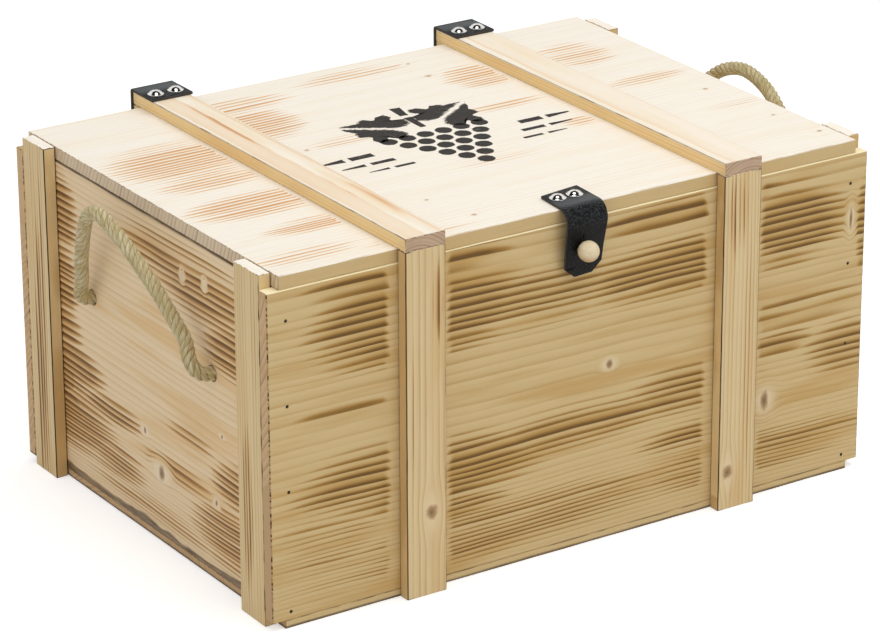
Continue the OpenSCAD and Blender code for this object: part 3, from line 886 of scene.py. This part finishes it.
lid_knots = ((65, 116, 3, 2.4), (-96, 26, 2.2, 1.8), (218, -23, 2.2, 2), (-70, -148, 2.2, 2),
             (230, -143, 2.2, 2), (-81, -106, 1.6, 1.6), (68, 148, 1.6, 1.6), (224, -97, 1.6, 1.6))
finish_board(
    lid, "lid",
    spruce("lid_spruce", "xyz", None, lid_rings, lid_tones, lid_burns, lid_knots,
           tuple((side * batten_x * 1000, 16, (1, 4)) for side in (-1, 1)), seed=83, contrast=0.45,
           clouds=0.25, edge_tone="#B08A58", edge_burn=0.6, relief=0.1, thick=0.5, dark=0.65,
           # side tints the lid's edges below its top darker: painted shade, as the light from above
           # reaches them less.
           glow=0.2, flamed=(248, 253), wave=9, side=("z", 254.1, 254.6, "#D6C093")),
    spruce("lid_end", "xyz", (560, 480), ((380, 4.2), (800, 4.6)), lid_end_tones, seed=83,
           # char darkens the bottom of the lid's end grain: painted shade of the gap where the lid
           # rests on the end panel.
           contrast=0.9, wave=6, char_and_shade=(("z", 245.0, 246.2, 1.2, 0.8),)))

# The lid battens' tones are paler than the uprights': partly less scorched wood and partly painted
# light on their tops, which face the lamp.
lid_batten_tones = dict(batten_tones, early="#FAF0DE", late="#EBC594", cloud="#F3DAB2",
                        scorched="#E2AE78", burnt="#B97C48", black="#7A4A26")
for side_name, x, seed, pith, burns in (
    ("left", -batten_x, 91, (-137, 200), ((80, -128, 75, 7, 0.9), (-95, -125, 85, 7, 0.9))),
    ("right", batten_x, 95, (137, 196), ((70, 138, 90, 8, 0.6), (-60, 134, 90, 6, 0.5))),
):
    batten = plank(f"{side_name}_lid_strip", f"{side_name}_lid_batten", "y", arris=0.0006,
                   seed=seed)
    finish_board(
        batten, "lid",
        spruce(f"{side_name}_lid_batten_pine", "yxz", pith, ((50, 3.0), (68, 2.4), (160, 3.0)),
               lid_batten_tones, burns, (), seed=seed, wave=13, ripple=3.0, contrast=0.75,
               clouds=0.3, edge_burn=0.8, relief=0.12, thick=0.4, dark=0.7, edge_tone="#6B4420",
               # side tints the battens' sides below their top darker: painted shade.
               edges=(("z", 262.6, 263.4, 0.6),), side=("z", 263.4, 264.0, "#F8E4B6")),
        spruce(f"{side_name}_lid_batten_end", "yxz", (pith[0], 235), ((15, 2.4), (80, 2.6)),
               dict(lid_batten_tones, early="#CBAE92", late="#957456", cloud="#B89A7C"),
               seed=seed, contrast=0.9))

# ---------------------------------------------------------------------------------------------
# Nails. Steel brads hold every joint. Their small heads lie about flush with the wood, mostly
# inside the crate, and those of the end joints show on the front and on the back.

nail_head_d = 0.0024
nail_shank_r = 0.0008
nail_point_l = 0.0015
nail_head_t = 0.0008
nail_proud = 0.00008
long_brad = 0.030
short_brad = 0.017
bottom_brad = 0.025
panel_face_y = 0.1735
panel_inside_y = 0.1635
end_inside_x = 0.2305
panel_nail_z = (0.012, 0.100, 0.162, 0.223)
batten_nail_z = (0.040, 0.130, 0.205)
corner_nail_y = 0.1475
bottom_nail_y = 0.1685
lid_underside_z = 0.245


def steel_finish():
    f = Finish("steel_nail", roughness=0.6, metallic=0.7)
    dull = f.noise(f.object_place(), (0.8, 0.8, 0.8), 4, detail=3)
    dusty = f.ramp(dull, (0.4, 0.0), (0.6, 1.0))
    f.surface("Base Color", f.mix(dusty, paint("#1E1712"), paint("#4A3C2E")))
    f.surface("Normal", f.relief(dull, 0.05))
    return f.material


def turned(name, outline, steps):
    """A closed solid turned about Z from (radius, height) points that start and end at 0."""
    made = bmesh.new()
    verts = [made.verts.new((r, 0, z)) for r, z in outline]
    edges = [made.edges.new(pair) for pair in zip(verts, verts[1:])]
    bmesh.ops.spin(made, geom=verts + edges, cent=(0, 0, 0), axis=(0, 0, 1), dvec=(0, 0, 0),
                   angle=math.tau, steps=steps, use_merge=True)
    bmesh.ops.remove_doubles(made, verts=made.verts, dist=1e-7)
    bmesh.ops.recalc_face_normals(made, faces=made.faces)
    return as_object(name, made)


def set_in(name, node, body, first, places, way, turns, finish):
    """Copies of a turned piece at the places, with Z along way, as one piece of the body."""
    group = bmesh.new()
    lean = Vector((0, 0, 1)).rotation_difference(Vector(way)).to_matrix().to_4x4()
    for place, turn in zip(places, turns):
        before = set(group.verts)
        group.from_mesh(first.data)
        bmesh.ops.transform(
            group, matrix=Matrix.Translation(place) @ lean @ Matrix.Rotation(turn, 4, "Z"),
            verts=[v for v in group.verts if v not in before])
    bpy.data.objects.remove(first)
    made = as_object(name, group)
    made.data.shade_smooth()
    made.data.materials.append(finish)
    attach(made, body)
    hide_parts(node)
    return made


def brads(name, node, body, places, way, length):
    """Nails whose heads lie at the places and whose points face way."""
    first = turned(f"{name}_first", [
        (0, -nail_proud * 0.6), (nail_head_d * 0.3, -nail_proud), (nail_head_d / 2, 0),
        (nail_head_d / 2, nail_head_t), (nail_shank_r, nail_head_t * 1.4),
        (nail_shank_r, length - nail_point_l), (0, length)], 16)
    made = set_in(name, node, body, first, places, way, [0] * len(places), steel)


steel = steel_finish()
for side_name, side in (("front", -1), ("back", 1)):
    brads(f"{side_name}_panel_brads", f"{side_name}_panel_nails", "box",
          [(end * end_middle_x, side * panel_face_y, z) for end in (-1, 1) for z in panel_nail_z],
          (0, -side, 0), long_brad)
    brads(f"{side_name}_batten_brads", f"{side_name}_batten_nails", "box",
          [(x, side * panel_inside_y, z) for x in (-batten_x, batten_x) for z in batten_nail_z],
          (0, side, 0), short_brad)
for side_name, end in (("left", -1), ("right", 1)):
    brads(f"{side_name}_corner_brads", "corner_batten_nails", "box",
          [(end * end_inside_x, side * corner_nail_y, z)
           for side in (-1, 1) for z in batten_nail_z], (end, 0, 0), short_brad)
brads("bottom_brads", "bottom_nails", "box",
      [(x, side * bottom_nail_y, 0) for side in (-1, 1) for x in (-0.2, -0.08, 0.08, 0.2)]
      + [(end * end_middle_x, y, 0) for end in (-1, 1) for y in (-0.1, 0, 0.1)],
      (0, 0, 1), bottom_brad)
brads("lid_brads", "lid_nails", "lid",
      [(x, y, lid_underside_z) for x in (-batten_x, batten_x) for y in (-0.14, -0.05, 0.05, 0.12)],
      (0, 0, 1), short_brad)

# ---------------------------------------------------------------------------------------------
# Leather straps. Three pieces are cut from black pebbled leather, 2.2 mm thick, and folded when
# they are screwed on: a hinge strap over each lid batten and the closure over the lid's edge.

leather_t = 0.0022
leather_rim = 0.0003
strap_gap = 0.0015
tight_fold_l = 0.004


def leather_finish():
    """The patterns lie in "flat", the place in the leather before it was folded, in mm."""
    f = Finish("black_leather", roughness=0.5, specular=0.14)
    place = f.add("ShaderNodeAttribute", attribute_name="flat").outputs["Vector"]
    pebbles = f.add("ShaderNodeTexVoronoi", feature="SMOOTH_F1")
    warped = f.vector("ADD", place, f.vector("MULTIPLY", f.join(
        f.noise(place, (2.0, 2.0, 9), 1), f.noise(place, (2.0, 2.0, 9), 2), 0.0), (1.2, 1.2, 0)))
    f.feed(pebbles.inputs["Vector"], f.vector("MULTIPLY", warped, (0.9, 0.62, 0)))
    pebbles.inputs["Scale"].default_value = 1.0
    pebbles.inputs["Smoothness"].default_value = 0.35
    grain = f.ramp(pebbles.outputs["Distance"], (0.12, 1.0), (0.6, 0.0))
    fine = f.noise(place, (0.5, 0.5, 0.5), 3, detail=3)
    along, _, depth = f.split(place)
    # Painted light: the pebble tops on the tab and the bend, which face up, are lighter grey than on
    # the dark drop.
    painted_lit_top = f.fade(along, 37, 45, 1.0, 0.0)
    cut = f.fade(depth, 0.15, 0.5, 1.0, 0.0)
    cut = f.larger(cut, f.fade(
        f.add("ShaderNodeAttribute", attribute_name="rim").outputs["Fac"], 0.4, 0.6))
    # Painted sheen: a smoother, lighter grey band across the top of the bend, between the screws and
    # the drop.
    painted_sheen = f.times(f.fade(along, 12, 20), f.fade(along, 32, 25))
    grain = f.larger(grain, f.times(painted_sheen, 0.75))
    skin = f.mix(grain, paint("#0B0A0A"), f.mix(painted_lit_top, paint("#121011"), paint("#363A3C")))
    skin = f.mix(f.times(painted_sheen, 0.6), skin, paint("#4E5252"))
    colour = f.mix(cut, skin, f.mix(fine, paint("#2E2C2A"), paint("#5A5651")))
    f.surface("Base Color", colour)
    f.surface("Roughness", f.plus(f.scaled(grain, -0.12, 0.46), f.times(cut, 0.35)))
    height = f.scaled(fine, 0.15, grain)
    f.surface("Normal", f.relief(height, 0.3))
    return f.material


def cut_strap(outline, holes, walk):
    """A strap cut flat, in (along, across), with rounded rims and with cuts along it that are
    close together where walk bends it. "flat" keeps each place and "rim" marks the cut sides."""
    strap = bmesh.new()
    for loop in [outline, *holes]:
        verts = [strap.verts.new((s, w, 0)) for s, w in loop]
        for a, b in zip(verts, verts[1:] + verts[:1]):
            strap.edges.new((a, b))
    bmesh.ops.triangle_fill(strap, use_beauty=True, edges=strap.edges[:])
    lo, hi = min(s for s, w in outline), max(s for s, w in outline)
    edge_s, cuts = 0.0, []
    for length, turn in walk:
        gap = strap_gap if turn == 0 or length > tight_fold_l else length / 6
        count = max(2, round(length / gap))
        cuts += [edge_s + length * i / count for i in range(count)]
        edge_s += length
    for s in cuts:
        if lo + leather_rim < s < hi - leather_rim:
            bmesh.ops.bisect_plane(strap, geom=strap.verts[:] + strap.edges[:] + strap.faces[:],
                                   plane_co=(s, 0, 0), plane_no=(1, 0, 0))
    bmesh.ops.remove_doubles(strap, verts=strap.verts, dist=1e-6)
    lifted = bmesh.ops.extrude_face_region(strap, geom=strap.faces[:])["geom"]
    bmesh.ops.translate(strap, vec=(0, 0, leather_t),
                        verts=[e for e in lifted if isinstance(e, bmesh.types.BMVert)])
    bmesh.ops.recalc_face_normals(strap, faces=strap.faces)
    rim_edges = [e for e in strap.edges if e.is_manifold and e.calc_face_angle() > 1.2
                 and abs(e.verts[0].co.z - e.verts[1].co.z) < 1e-6]
    bmesh.ops.bevel(strap, geom=rim_edges, offset=leather_rim, affect="EDGES", segments=2,
                    profile=0.5, material=-1)
    bmesh.ops.triangulate(strap, faces=[f for f in strap.faces if len(f.verts) > 4])
    flat = strap.verts.layers.float_vector.new("flat")
    rim = strap.verts.layers.float.new("rim")
    for v in strap.verts:
        v[flat] = v.co * 1000
        v[rim] = 1.0 if any(abs(f.normal.z) < 0.2 for f in v.link_faces) else 0.0
    return strap


def fold_strap(strap, start, walk, way):
    """Lays a flat strap along way from start, and bends it down at each turn of walk."""
    way = Vector(way)
    up = Vector((0, 0, 1))
    side = up.cross(way)
    for v in strap.verts:
        place, turned_by, left = Vector(start), 0.0, v.co.x
        for i, (length, turn) in enumerate(walk):
            part = left if i == len(walk) - 1 or left < length else length
            if turn:
                r = length / turn
                end = turned_by + part / r
                place += r * (way * (math.sin(end) - math.sin(turned_by))
                              + up * (math.cos(end) - math.cos(turned_by)))
                turned_by = end
            else:
                place += part * (math.cos(turned_by) * way - math.sin(turned_by) * up)
            left -= part
            if left <= 0:
                break
        v.co = (place + v.co.y * side
                + v.co.z * (math.sin(turned_by) * way + math.cos(turned_by) * up))
    bmesh.ops.recalc_face_normals(strap, faces=strap.faces)


def leather_strap(name, outline, holes, start, walk, way):
    """A strap whose inner face starts at start, goes off along way, and follows walk, a list
    of (length, turn)."""
    strap = cut_strap(outline, holes, walk)
    fold_strap(strap, start, walk, way)
    made = as_object(name, strap)
    made.data.shade_smooth()
    made.data.materials.append(leather)
    return made


leather = leather_finish()
lid_top = 0.255
lid_batten_top = 0.2645
batten_face_y = 0.183
hinge_w = 0.034
hinge_top_l = 0.0296
hinge_fold_r = 0.0004
hinge_back_l = 0.0421
hinge_fold_l = hinge_fold_r * math.pi / 2
hinge_l = hinge_top_l + hinge_fold_l + hinge_back_l
for side_name, x in (("left", -batten_x), ("right", batten_x)):
    hinge = leather_strap(
        f"{side_name}_hinge_strap",
        [(0, -hinge_w / 2), (hinge_l, -hinge_w / 2), (hinge_l, hinge_w / 2), (0, hinge_w / 2)],
        [], (x, batten_face_y - hinge_fold_r - hinge_top_l, lid_batten_top),
        [(hinge_top_l, 0), (hinge_fold_l, math.pi / 2), (hinge_back_l, 0)], (0, 1, 0))
    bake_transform(hinge)
    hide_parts(f"{side_name}_hinge_upper_leaf", f"{side_name}_hinge_lower_leaf")

closure_x = -0.002
closure_start_y = -0.1462
closure_top_l = 0.0263
closure_bend_r = 0.0093
closure_bend = math.radians(98)
closure_bend_l = closure_bend_r * closure_bend
closure_drop_l = 0.0378
knob_x = -0.0034
knob_along = 0.0598
keyhole_r = 0.0045
slit_w = 0.0014
slit_top = 0.011

# The strap was cut by eye, a little askew, and its end is clipped at both corners.
closure_outline = [(s * 0.001, w * 0.001) for s, w in (
    (1.8, -13.0), (30, -15.0), (44, -15.3), (60, -15.1), (74, -14.2), (80.8, -5.9), (79.9, 8.6),
    (72.2, 15.8), (60, 16.2), (44, 17.6), (20, 18.8), (-2.8, 19.8))]
slit_meets = math.asin(slit_w / 2 / keyhole_r)
keyhole = [(knob_along - keyhole_r * math.cos(a), keyhole_r * math.sin(a)) for a in (
    slit_meets + (math.tau - 2 * slit_meets) * i / 36 for i in range(37))]
keyhole += [(knob_along - slit_top, -slit_w / 2), (knob_along - slit_top, slit_w / 2)]
keyhole = [(s, w + knob_x - closure_x) for s, w in keyhole]
closure = leather_strap(
    "closure_strap", closure_outline, [keyhole], (closure_x, closure_start_y, lid_top),
    [(closure_top_l, 0), (closure_bend_l, closure_bend), (closure_drop_l, 0)], (0, -1, 0))
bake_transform(closure)
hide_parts("closure_strap_tab", "closure_strap_flap")

# ---------------------------------------------------------------------------------------------
# Screws. Nickel-plated steel screws with a wide washer under a low dome hold the straps. The
# knob's own screw is countersunk and comes from inside the crate.

screw_head_r = 0.0060
screw_shank_r = 0.0015
washer_t = 0.0005
dome_r = 0.0056
dome_h = 0.0026
screw_point_l = 0.003
soft = 0.00018
cross_l = 0.0034
cross_w = 0.0009
cross_depth = 0.0012
cross_taper = 0.45
hinge_screw_l = 0.014
hinge_screw_gap = 0.0165
hinge_lid_screw_y = 0.163
hinge_back_screw_z = 0.232
closure_screw_l = 0.0102
closure_screw_x = -0.0008
closure_screw_y = -0.1576
closure_screw_gap = 0.014


def metal(name, colour, roughness):
    f = Finish(name, roughness=roughness, metallic=1.0)
    smear = f.noise(f.object_place(), (2.5, 2.5, 2.5), 5, detail=3)
    f.surface("Base Color", f.mix(smear, paint(colour), paint("#F2EFEA")))
    f.surface("Roughness", f.scaled(smear, 0.12, roughness - 0.05))
    return f.material


def cross_cut(piece, length, width, bottom, top):
    """Cuts a cross recess into a turned head, from bottom to above top."""
    cross = bmesh.new()
    for size in ((length, width), (width, length)):
        made = bmesh.ops.create_cube(cross, size=1)
        bmesh.ops.scale(cross, vec=(*size, top - bottom + 0.002), verts=made["verts"])
        bmesh.ops.translate(cross, vec=(0, 0, (bottom + top) / 2 + 0.001), verts=made["verts"])
        for v in made["verts"]:
            if v.co.z < bottom + 1e-6:
                v.co.x *= cross_taper
                v.co.y *= cross_taper
    cut_away(piece, cross, crossing=True)


def screws(name, node, body, places, up, length):
    """Washer-head screws whose washers lie at the places, as one piece."""
    ball_r = (dome_r ** 2 + dome_h ** 2) / (2 * dome_h)
    ball_z = washer_t + dome_h - ball_r
    open_angle = math.asin(dome_r / ball_r)
    dome = [(ball_r * math.sin(open_angle * i / 9), ball_z + ball_r * math.cos(open_angle * i / 9))
            for i in range(9, -1, -1)]
    outline = [
        (0, -length), (screw_shank_r, screw_point_l - length), (screw_shank_r, 0),
        (screw_head_r - soft, 0), (screw_head_r, soft), (screw_head_r, washer_t - 2 * soft),
        (screw_head_r - soft * 0.5, washer_t - soft * 0.5), (screw_head_r - soft * 1.6, washer_t),
        (dome_r + 0.0004, washer_t - 0.0001), *dome[:-1], (0, dome[-1][1]),
    ]
    draw = random.Random(len(places) + round(length * 1e4))
    first = turned(f"{name}_head", outline, 40)
    head_top = washer_t + dome_h
    cross_cut(first, cross_l, cross_w, head_top - cross_depth, head_top)
    turns = [draw.uniform(0, math.pi / 2) for _ in places]
    made = set_in(name, node, body, first, places, up, turns, nickel)
    made.data.set_sharp_from_angle(angle=math.radians(50))


nickel = metal("nickel", "#D9D6D0", 0.1)
hinge_pairs = [x + way * hinge_screw_gap / 2 for x in (-batten_x, batten_x) for way in (-1, 1)]
screws("hinge_top_screws", "hinge_lid_screws", "lid",
       [(x, hinge_lid_screw_y, lid_batten_top + leather_t) for x in hinge_pairs],
       (0, 0, 1), hinge_screw_l)
screws("hinge_rear_screws", "hinge_back_screws", "box",
       [(x, batten_face_y + leather_t, hinge_back_screw_z) for x in hinge_pairs],
       (0, 1, 0), hinge_screw_l)
screws("closure_washer_screws", "closure_screws", "lid",
       [(closure_screw_x + way * closure_screw_gap / 2, closure_screw_y, lid_top + leather_t)
        for way in (-1, 1)], (0, 0, 1), closure_screw_l)

# ---------------------------------------------------------------------------------------------
# Knob. A beech ball with a short neck is turned in one piece. A countersunk steel screw from
# inside the crate holds it, and the strap's keyhole slips over it.

knob_z = 0.227
knob_r = 0.0075
knob_neck_r = 0.003
knob_reach = 0.015


def knob_finish():
    f = Finish("turned_beech", roughness=0.42, specular=0.4)
    place = f.object_place()
    x, y, z = f.split(place)
    rings = f.noise(f.join(x, f.times(y, 0.25), z), (1.6, 3.0, 1.6), 2, detail=2)
    flecks = f.noise(f.join(x, y, z), (0.5, 2.6, 0.5), 4, detail=2)
    colour = f.mix(f.ramp(rings, (0.3, 0.0), (0.8, 0.5)), paint("#E8D9B6"), paint("#D6B988"))
    colour = f.mix(f.ramp(flecks, (0.55, 0.0), (0.75, 0.25)), colour, paint("#B08A58"))
    # Painted shade: the ball turns browner towards its bottom, where less light reaches it.
    painted_shade_below = f.scaled(rings, 4.0, z)
    colour = f.mix(f.fade(painted_shade_below, 229.5, 222.5, 0.0, 0.75), colour, paint("#B98C5A"))
    f.surface("Base Color", colour)
    f.surface("Normal", f.relief(flecks, 0.04))
    f.surface("Coat Weight", 0.15)
    f.surface("Coat Roughness", 0.3)
    return f.material


meets = math.asin(knob_neck_r / knob_r)
ball = [(knob_r * math.sin(a), knob_reach + knob_r * math.cos(a)) for a in (
    math.pi - meets - (math.pi - meets) * i / 22 for i in range(22))]
knob = turned("beech_knob", [
    (0, 0), (knob_neck_r, 0), (knob_neck_r, knob_reach - knob_r * math.cos(meets) - 0.0006), *ball,
    (0, knob_reach + knob_r)], 48)
knob.data.transform(Matrix.Translation((knob_x, -panel_face_y, knob_z))
                    @ Matrix.Rotation(math.pi / 2, 4, "X"))
knob.data.shade_smooth()
knob.data.materials.append(knob_finish())
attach(knob, "box")
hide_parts("closure_knob")

inner_screw = turned("countersunk_screw", [
    (0, -0.022), (screw_shank_r, -0.019), (screw_shank_r, -0.0022), (0.0034, -0.0003),
    (0.00375, -0.0001), (0.00375, 0.0), (0.0030, 0.00012), (0, 0.00012)], 40)
cross_cut(inner_screw, 0.0040, 0.0010, -0.0010, 0.0001)
inner_screw.data.transform(Matrix.Translation((knob_x, -panel_inside_y, knob_z))
                           @ Matrix.Rotation(-math.pi / 2, 4, "X"))
inner_screw.data.materials.append(metal("plain_steel", "#A8A49C", 0.3))
inner_screw.data.shade_smooth()
inner_screw.data.set_sharp_from_angle(angle=math.radians(35))
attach(inner_screw, "box")
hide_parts("knob_screw")

# ---------------------------------------------------------------------------------------------
# Rope knots. Inside the crate each end of a rope is tied in an overhand knot, which rests on
# the panel round the hole and keeps the rope in, and a short tail is left.

knot_turn_r = 0.0086
tail_end_x = 0.1945


def knot_line(end, side):
    """From the hole's middle through one overhand knot to the tail's end."""
    points = [(0.2335, 0, 0), (0.2290, 0, 0), (0.2245, 0.4, -0.8), (0.2190, 1.5, -3.6),
              (0.2145, 0.5, -7.0)]
    for i in range(1, 15):
        turn = math.radians(-85 + 24.5 * i)
        points.append((0.2135 + 0.0105 * (i / 14) ** 0.9, knot_turn_r * 1000 * math.cos(turn),
                       knot_turn_r * 1000 * math.sin(turn)))
    points += [(0.2205, 5.6, -2.0), (0.2150, 4.2, 0.6), (0.2085, 2.4, 0.8), (0.2020, 1.6, -0.6),
               (tail_end_x, 1.0, -2.5)]
    return smooth_line([(end * x, side * (hole_y + 0.001 * across), hole_z + 0.001 * up)
                        for x, across, up in points], line_step)


for side_name, end in (("left", -1), ("right", 1)):
    knots = []
    for side in (-1, 1):
        line = knot_line(end, side)
        knot = laid_rope(f"{side_name}_knot_{len(knots)}", line)
        knot.data.materials.append(rope_finish(line_length(line)))
        knots.append(knot)
    with bpy.context.temp_override(active_object=knots[0], object=knots[0],
                                   selected_objects=knots, selected_editable_objects=knots):
        bpy.ops.object.join()
    knots[0].name = f"{side_name}_rope_knots"
    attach(knots[0], "box")
    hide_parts(f"{side_name}_rope_ends")

# ---------------------------------------------------------------------------------------------
# Stencilled ornament. A bunch of grapes with two leaves and plain bars is dabbed on the lid in
# black paint through a stencil, so its parts stand apart and its edges are ragged and worn.

paint_bottom = 0.25498
paint_top = 0.25506
grape_r = 6.6
grape_gap = 15.4
grape_top_y = 8


def paint_finish():
    """"cover" goes from 0 at the edge of a dab to the distance to it, in millimetres."""
    f = Finish("stencil_paint", roughness=0.75, specular=0.25)
    place = f.object_place()
    cover = f.add("ShaderNodeAttribute", attribute_name="cover").outputs["Fac"]
    ragged = f.noise(place, (9, 0.7, 5), 1, detail=3, roughness=0.6)
    grain = f.noise(place, (16, 0.45, 5), 2, detail=2)
    flecks = f.noise(place, (0.9, 0.5, 5), 3, detail=2)
    worn = f.noise(place, (30, 24, 9), 4, detail=1)
    edge = f.fade(f.scaled(ragged, -3.2, cover), -1.35, -1.15)
    hole = f.fade(f.scaled(worn, -0.16, flecks), 0.20, 0.24)
    streak = f.fade(f.scaled(worn, -0.22, grain), 0.16, 0.22)
    f.surface("Base Color", f.mix(grain, paint("#1F1D1C"), paint("#46413C")))
    f.surface("Alpha", f.times(edge, f.times(hole, streak)))
    return f.material


def dabs(name, outlines):
    """Thin patches of paint; each outline goes round one patch and is seen whole from its
    middle."""
    film = bmesh.new()
    cover = film.verts.layers.float.new("cover")
    for outline in outlines:
        middle = sum((Vector(p) for p in outline), Vector((0, 0))) / len(outline)
        rims = [[film.verts.new((x * 0.001, y * 0.001, z)) for x, y in outline]
                for z in (paint_bottom, paint_top)]
        hubs = [film.verts.new((*(middle * 0.001), z)) for z in (paint_bottom, paint_top)]
        reach = min((Vector(p) - middle).length for p in outline)
        for hub in hubs:
            hub[cover] = reach
        count = len(outline)
        for i in range(count):
            j = (i + 1) % count
            film.faces.new((hubs[1], rims[1][i], rims[1][j]))
            film.faces.new((hubs[0], rims[0][j], rims[0][i]))
            film.faces.new((rims[0][i], rims[0][j], rims[1][j], rims[1][i]))
    bmesh.ops.recalc_face_normals(film, faces=film.faces)
    made = as_object(name, film)
    made.data.materials.append(paint_finish())
    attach(made, "lid")


def bar(start, stop, wide_start, wide_stop):
    """A straight bar, with its width at both ends."""
    a, b = Vector(start), Vector(stop)
    across = (b - a).normalized().orthogonal()
    return [tuple(p) for p in (a - across * wide_start / 2, b - across * wide_stop / 2,
                               b + across * wide_stop / 2, a + across * wide_start / 2)]


leaf_half = [
    (0.6, 1), (5, -7), (12, -9), (19, -5), (15, 1), (17, 4), (24, 4), (27, 9), (23, 14),
    (16, 15), (15, 18), (17, 23), (13, 26), (8, 26), (6, 31), (0.6, 38),
]


def leaf(base, turn, size):
    """A lobed leaf as two patches, on both sides of its middle rib."""
    way = Matrix.Rotation(turn, 2) * size
    return [[tuple(Vector(base) + way @ Vector((hand * (x + 0.5), y))) for x, y in leaf_half]
            for hand in (-1, 1)]


marks = []
for row, number in enumerate((6, 5, 4, 3, 2, 1)):
    for i in range(number):
        x = (i - (number - 1) / 2) * grape_gap
        y = grape_top_y - row * grape_gap * 0.87
        marks.append([(x + grape_r * math.cos(math.tau * k / 20),
                       y + grape_r * math.sin(math.tau * k / 20)) for k in range(20)])
for hand in (-1, 1):
    marks += leaf((hand * 19, 29), math.radians(-hand * 56), 1.12)
    for start, stop, wide in (((62, -8), (106, -8), 7), ((54, -24), (98, -24), 5),
                              ((46, -38), (84, -38), 3.5)):
        middle = ((start[0] + stop[0]) / 2, start[1])
        marks.append(bar((hand * start[0], start[1]), (hand * (middle[0] - 2), middle[1]),
                         wide, wide))
        marks.append(bar((hand * (middle[0] + 2), middle[1]), (hand * stop[0], stop[1]),
                         wide, wide * 0.3))
marks.append(bar((0, 22), (1, 46), 5, 6.5))
marks.append(bar((1.5, 50), (4, 68), 6.5, 9))
dabs("lid_ornament", marks)
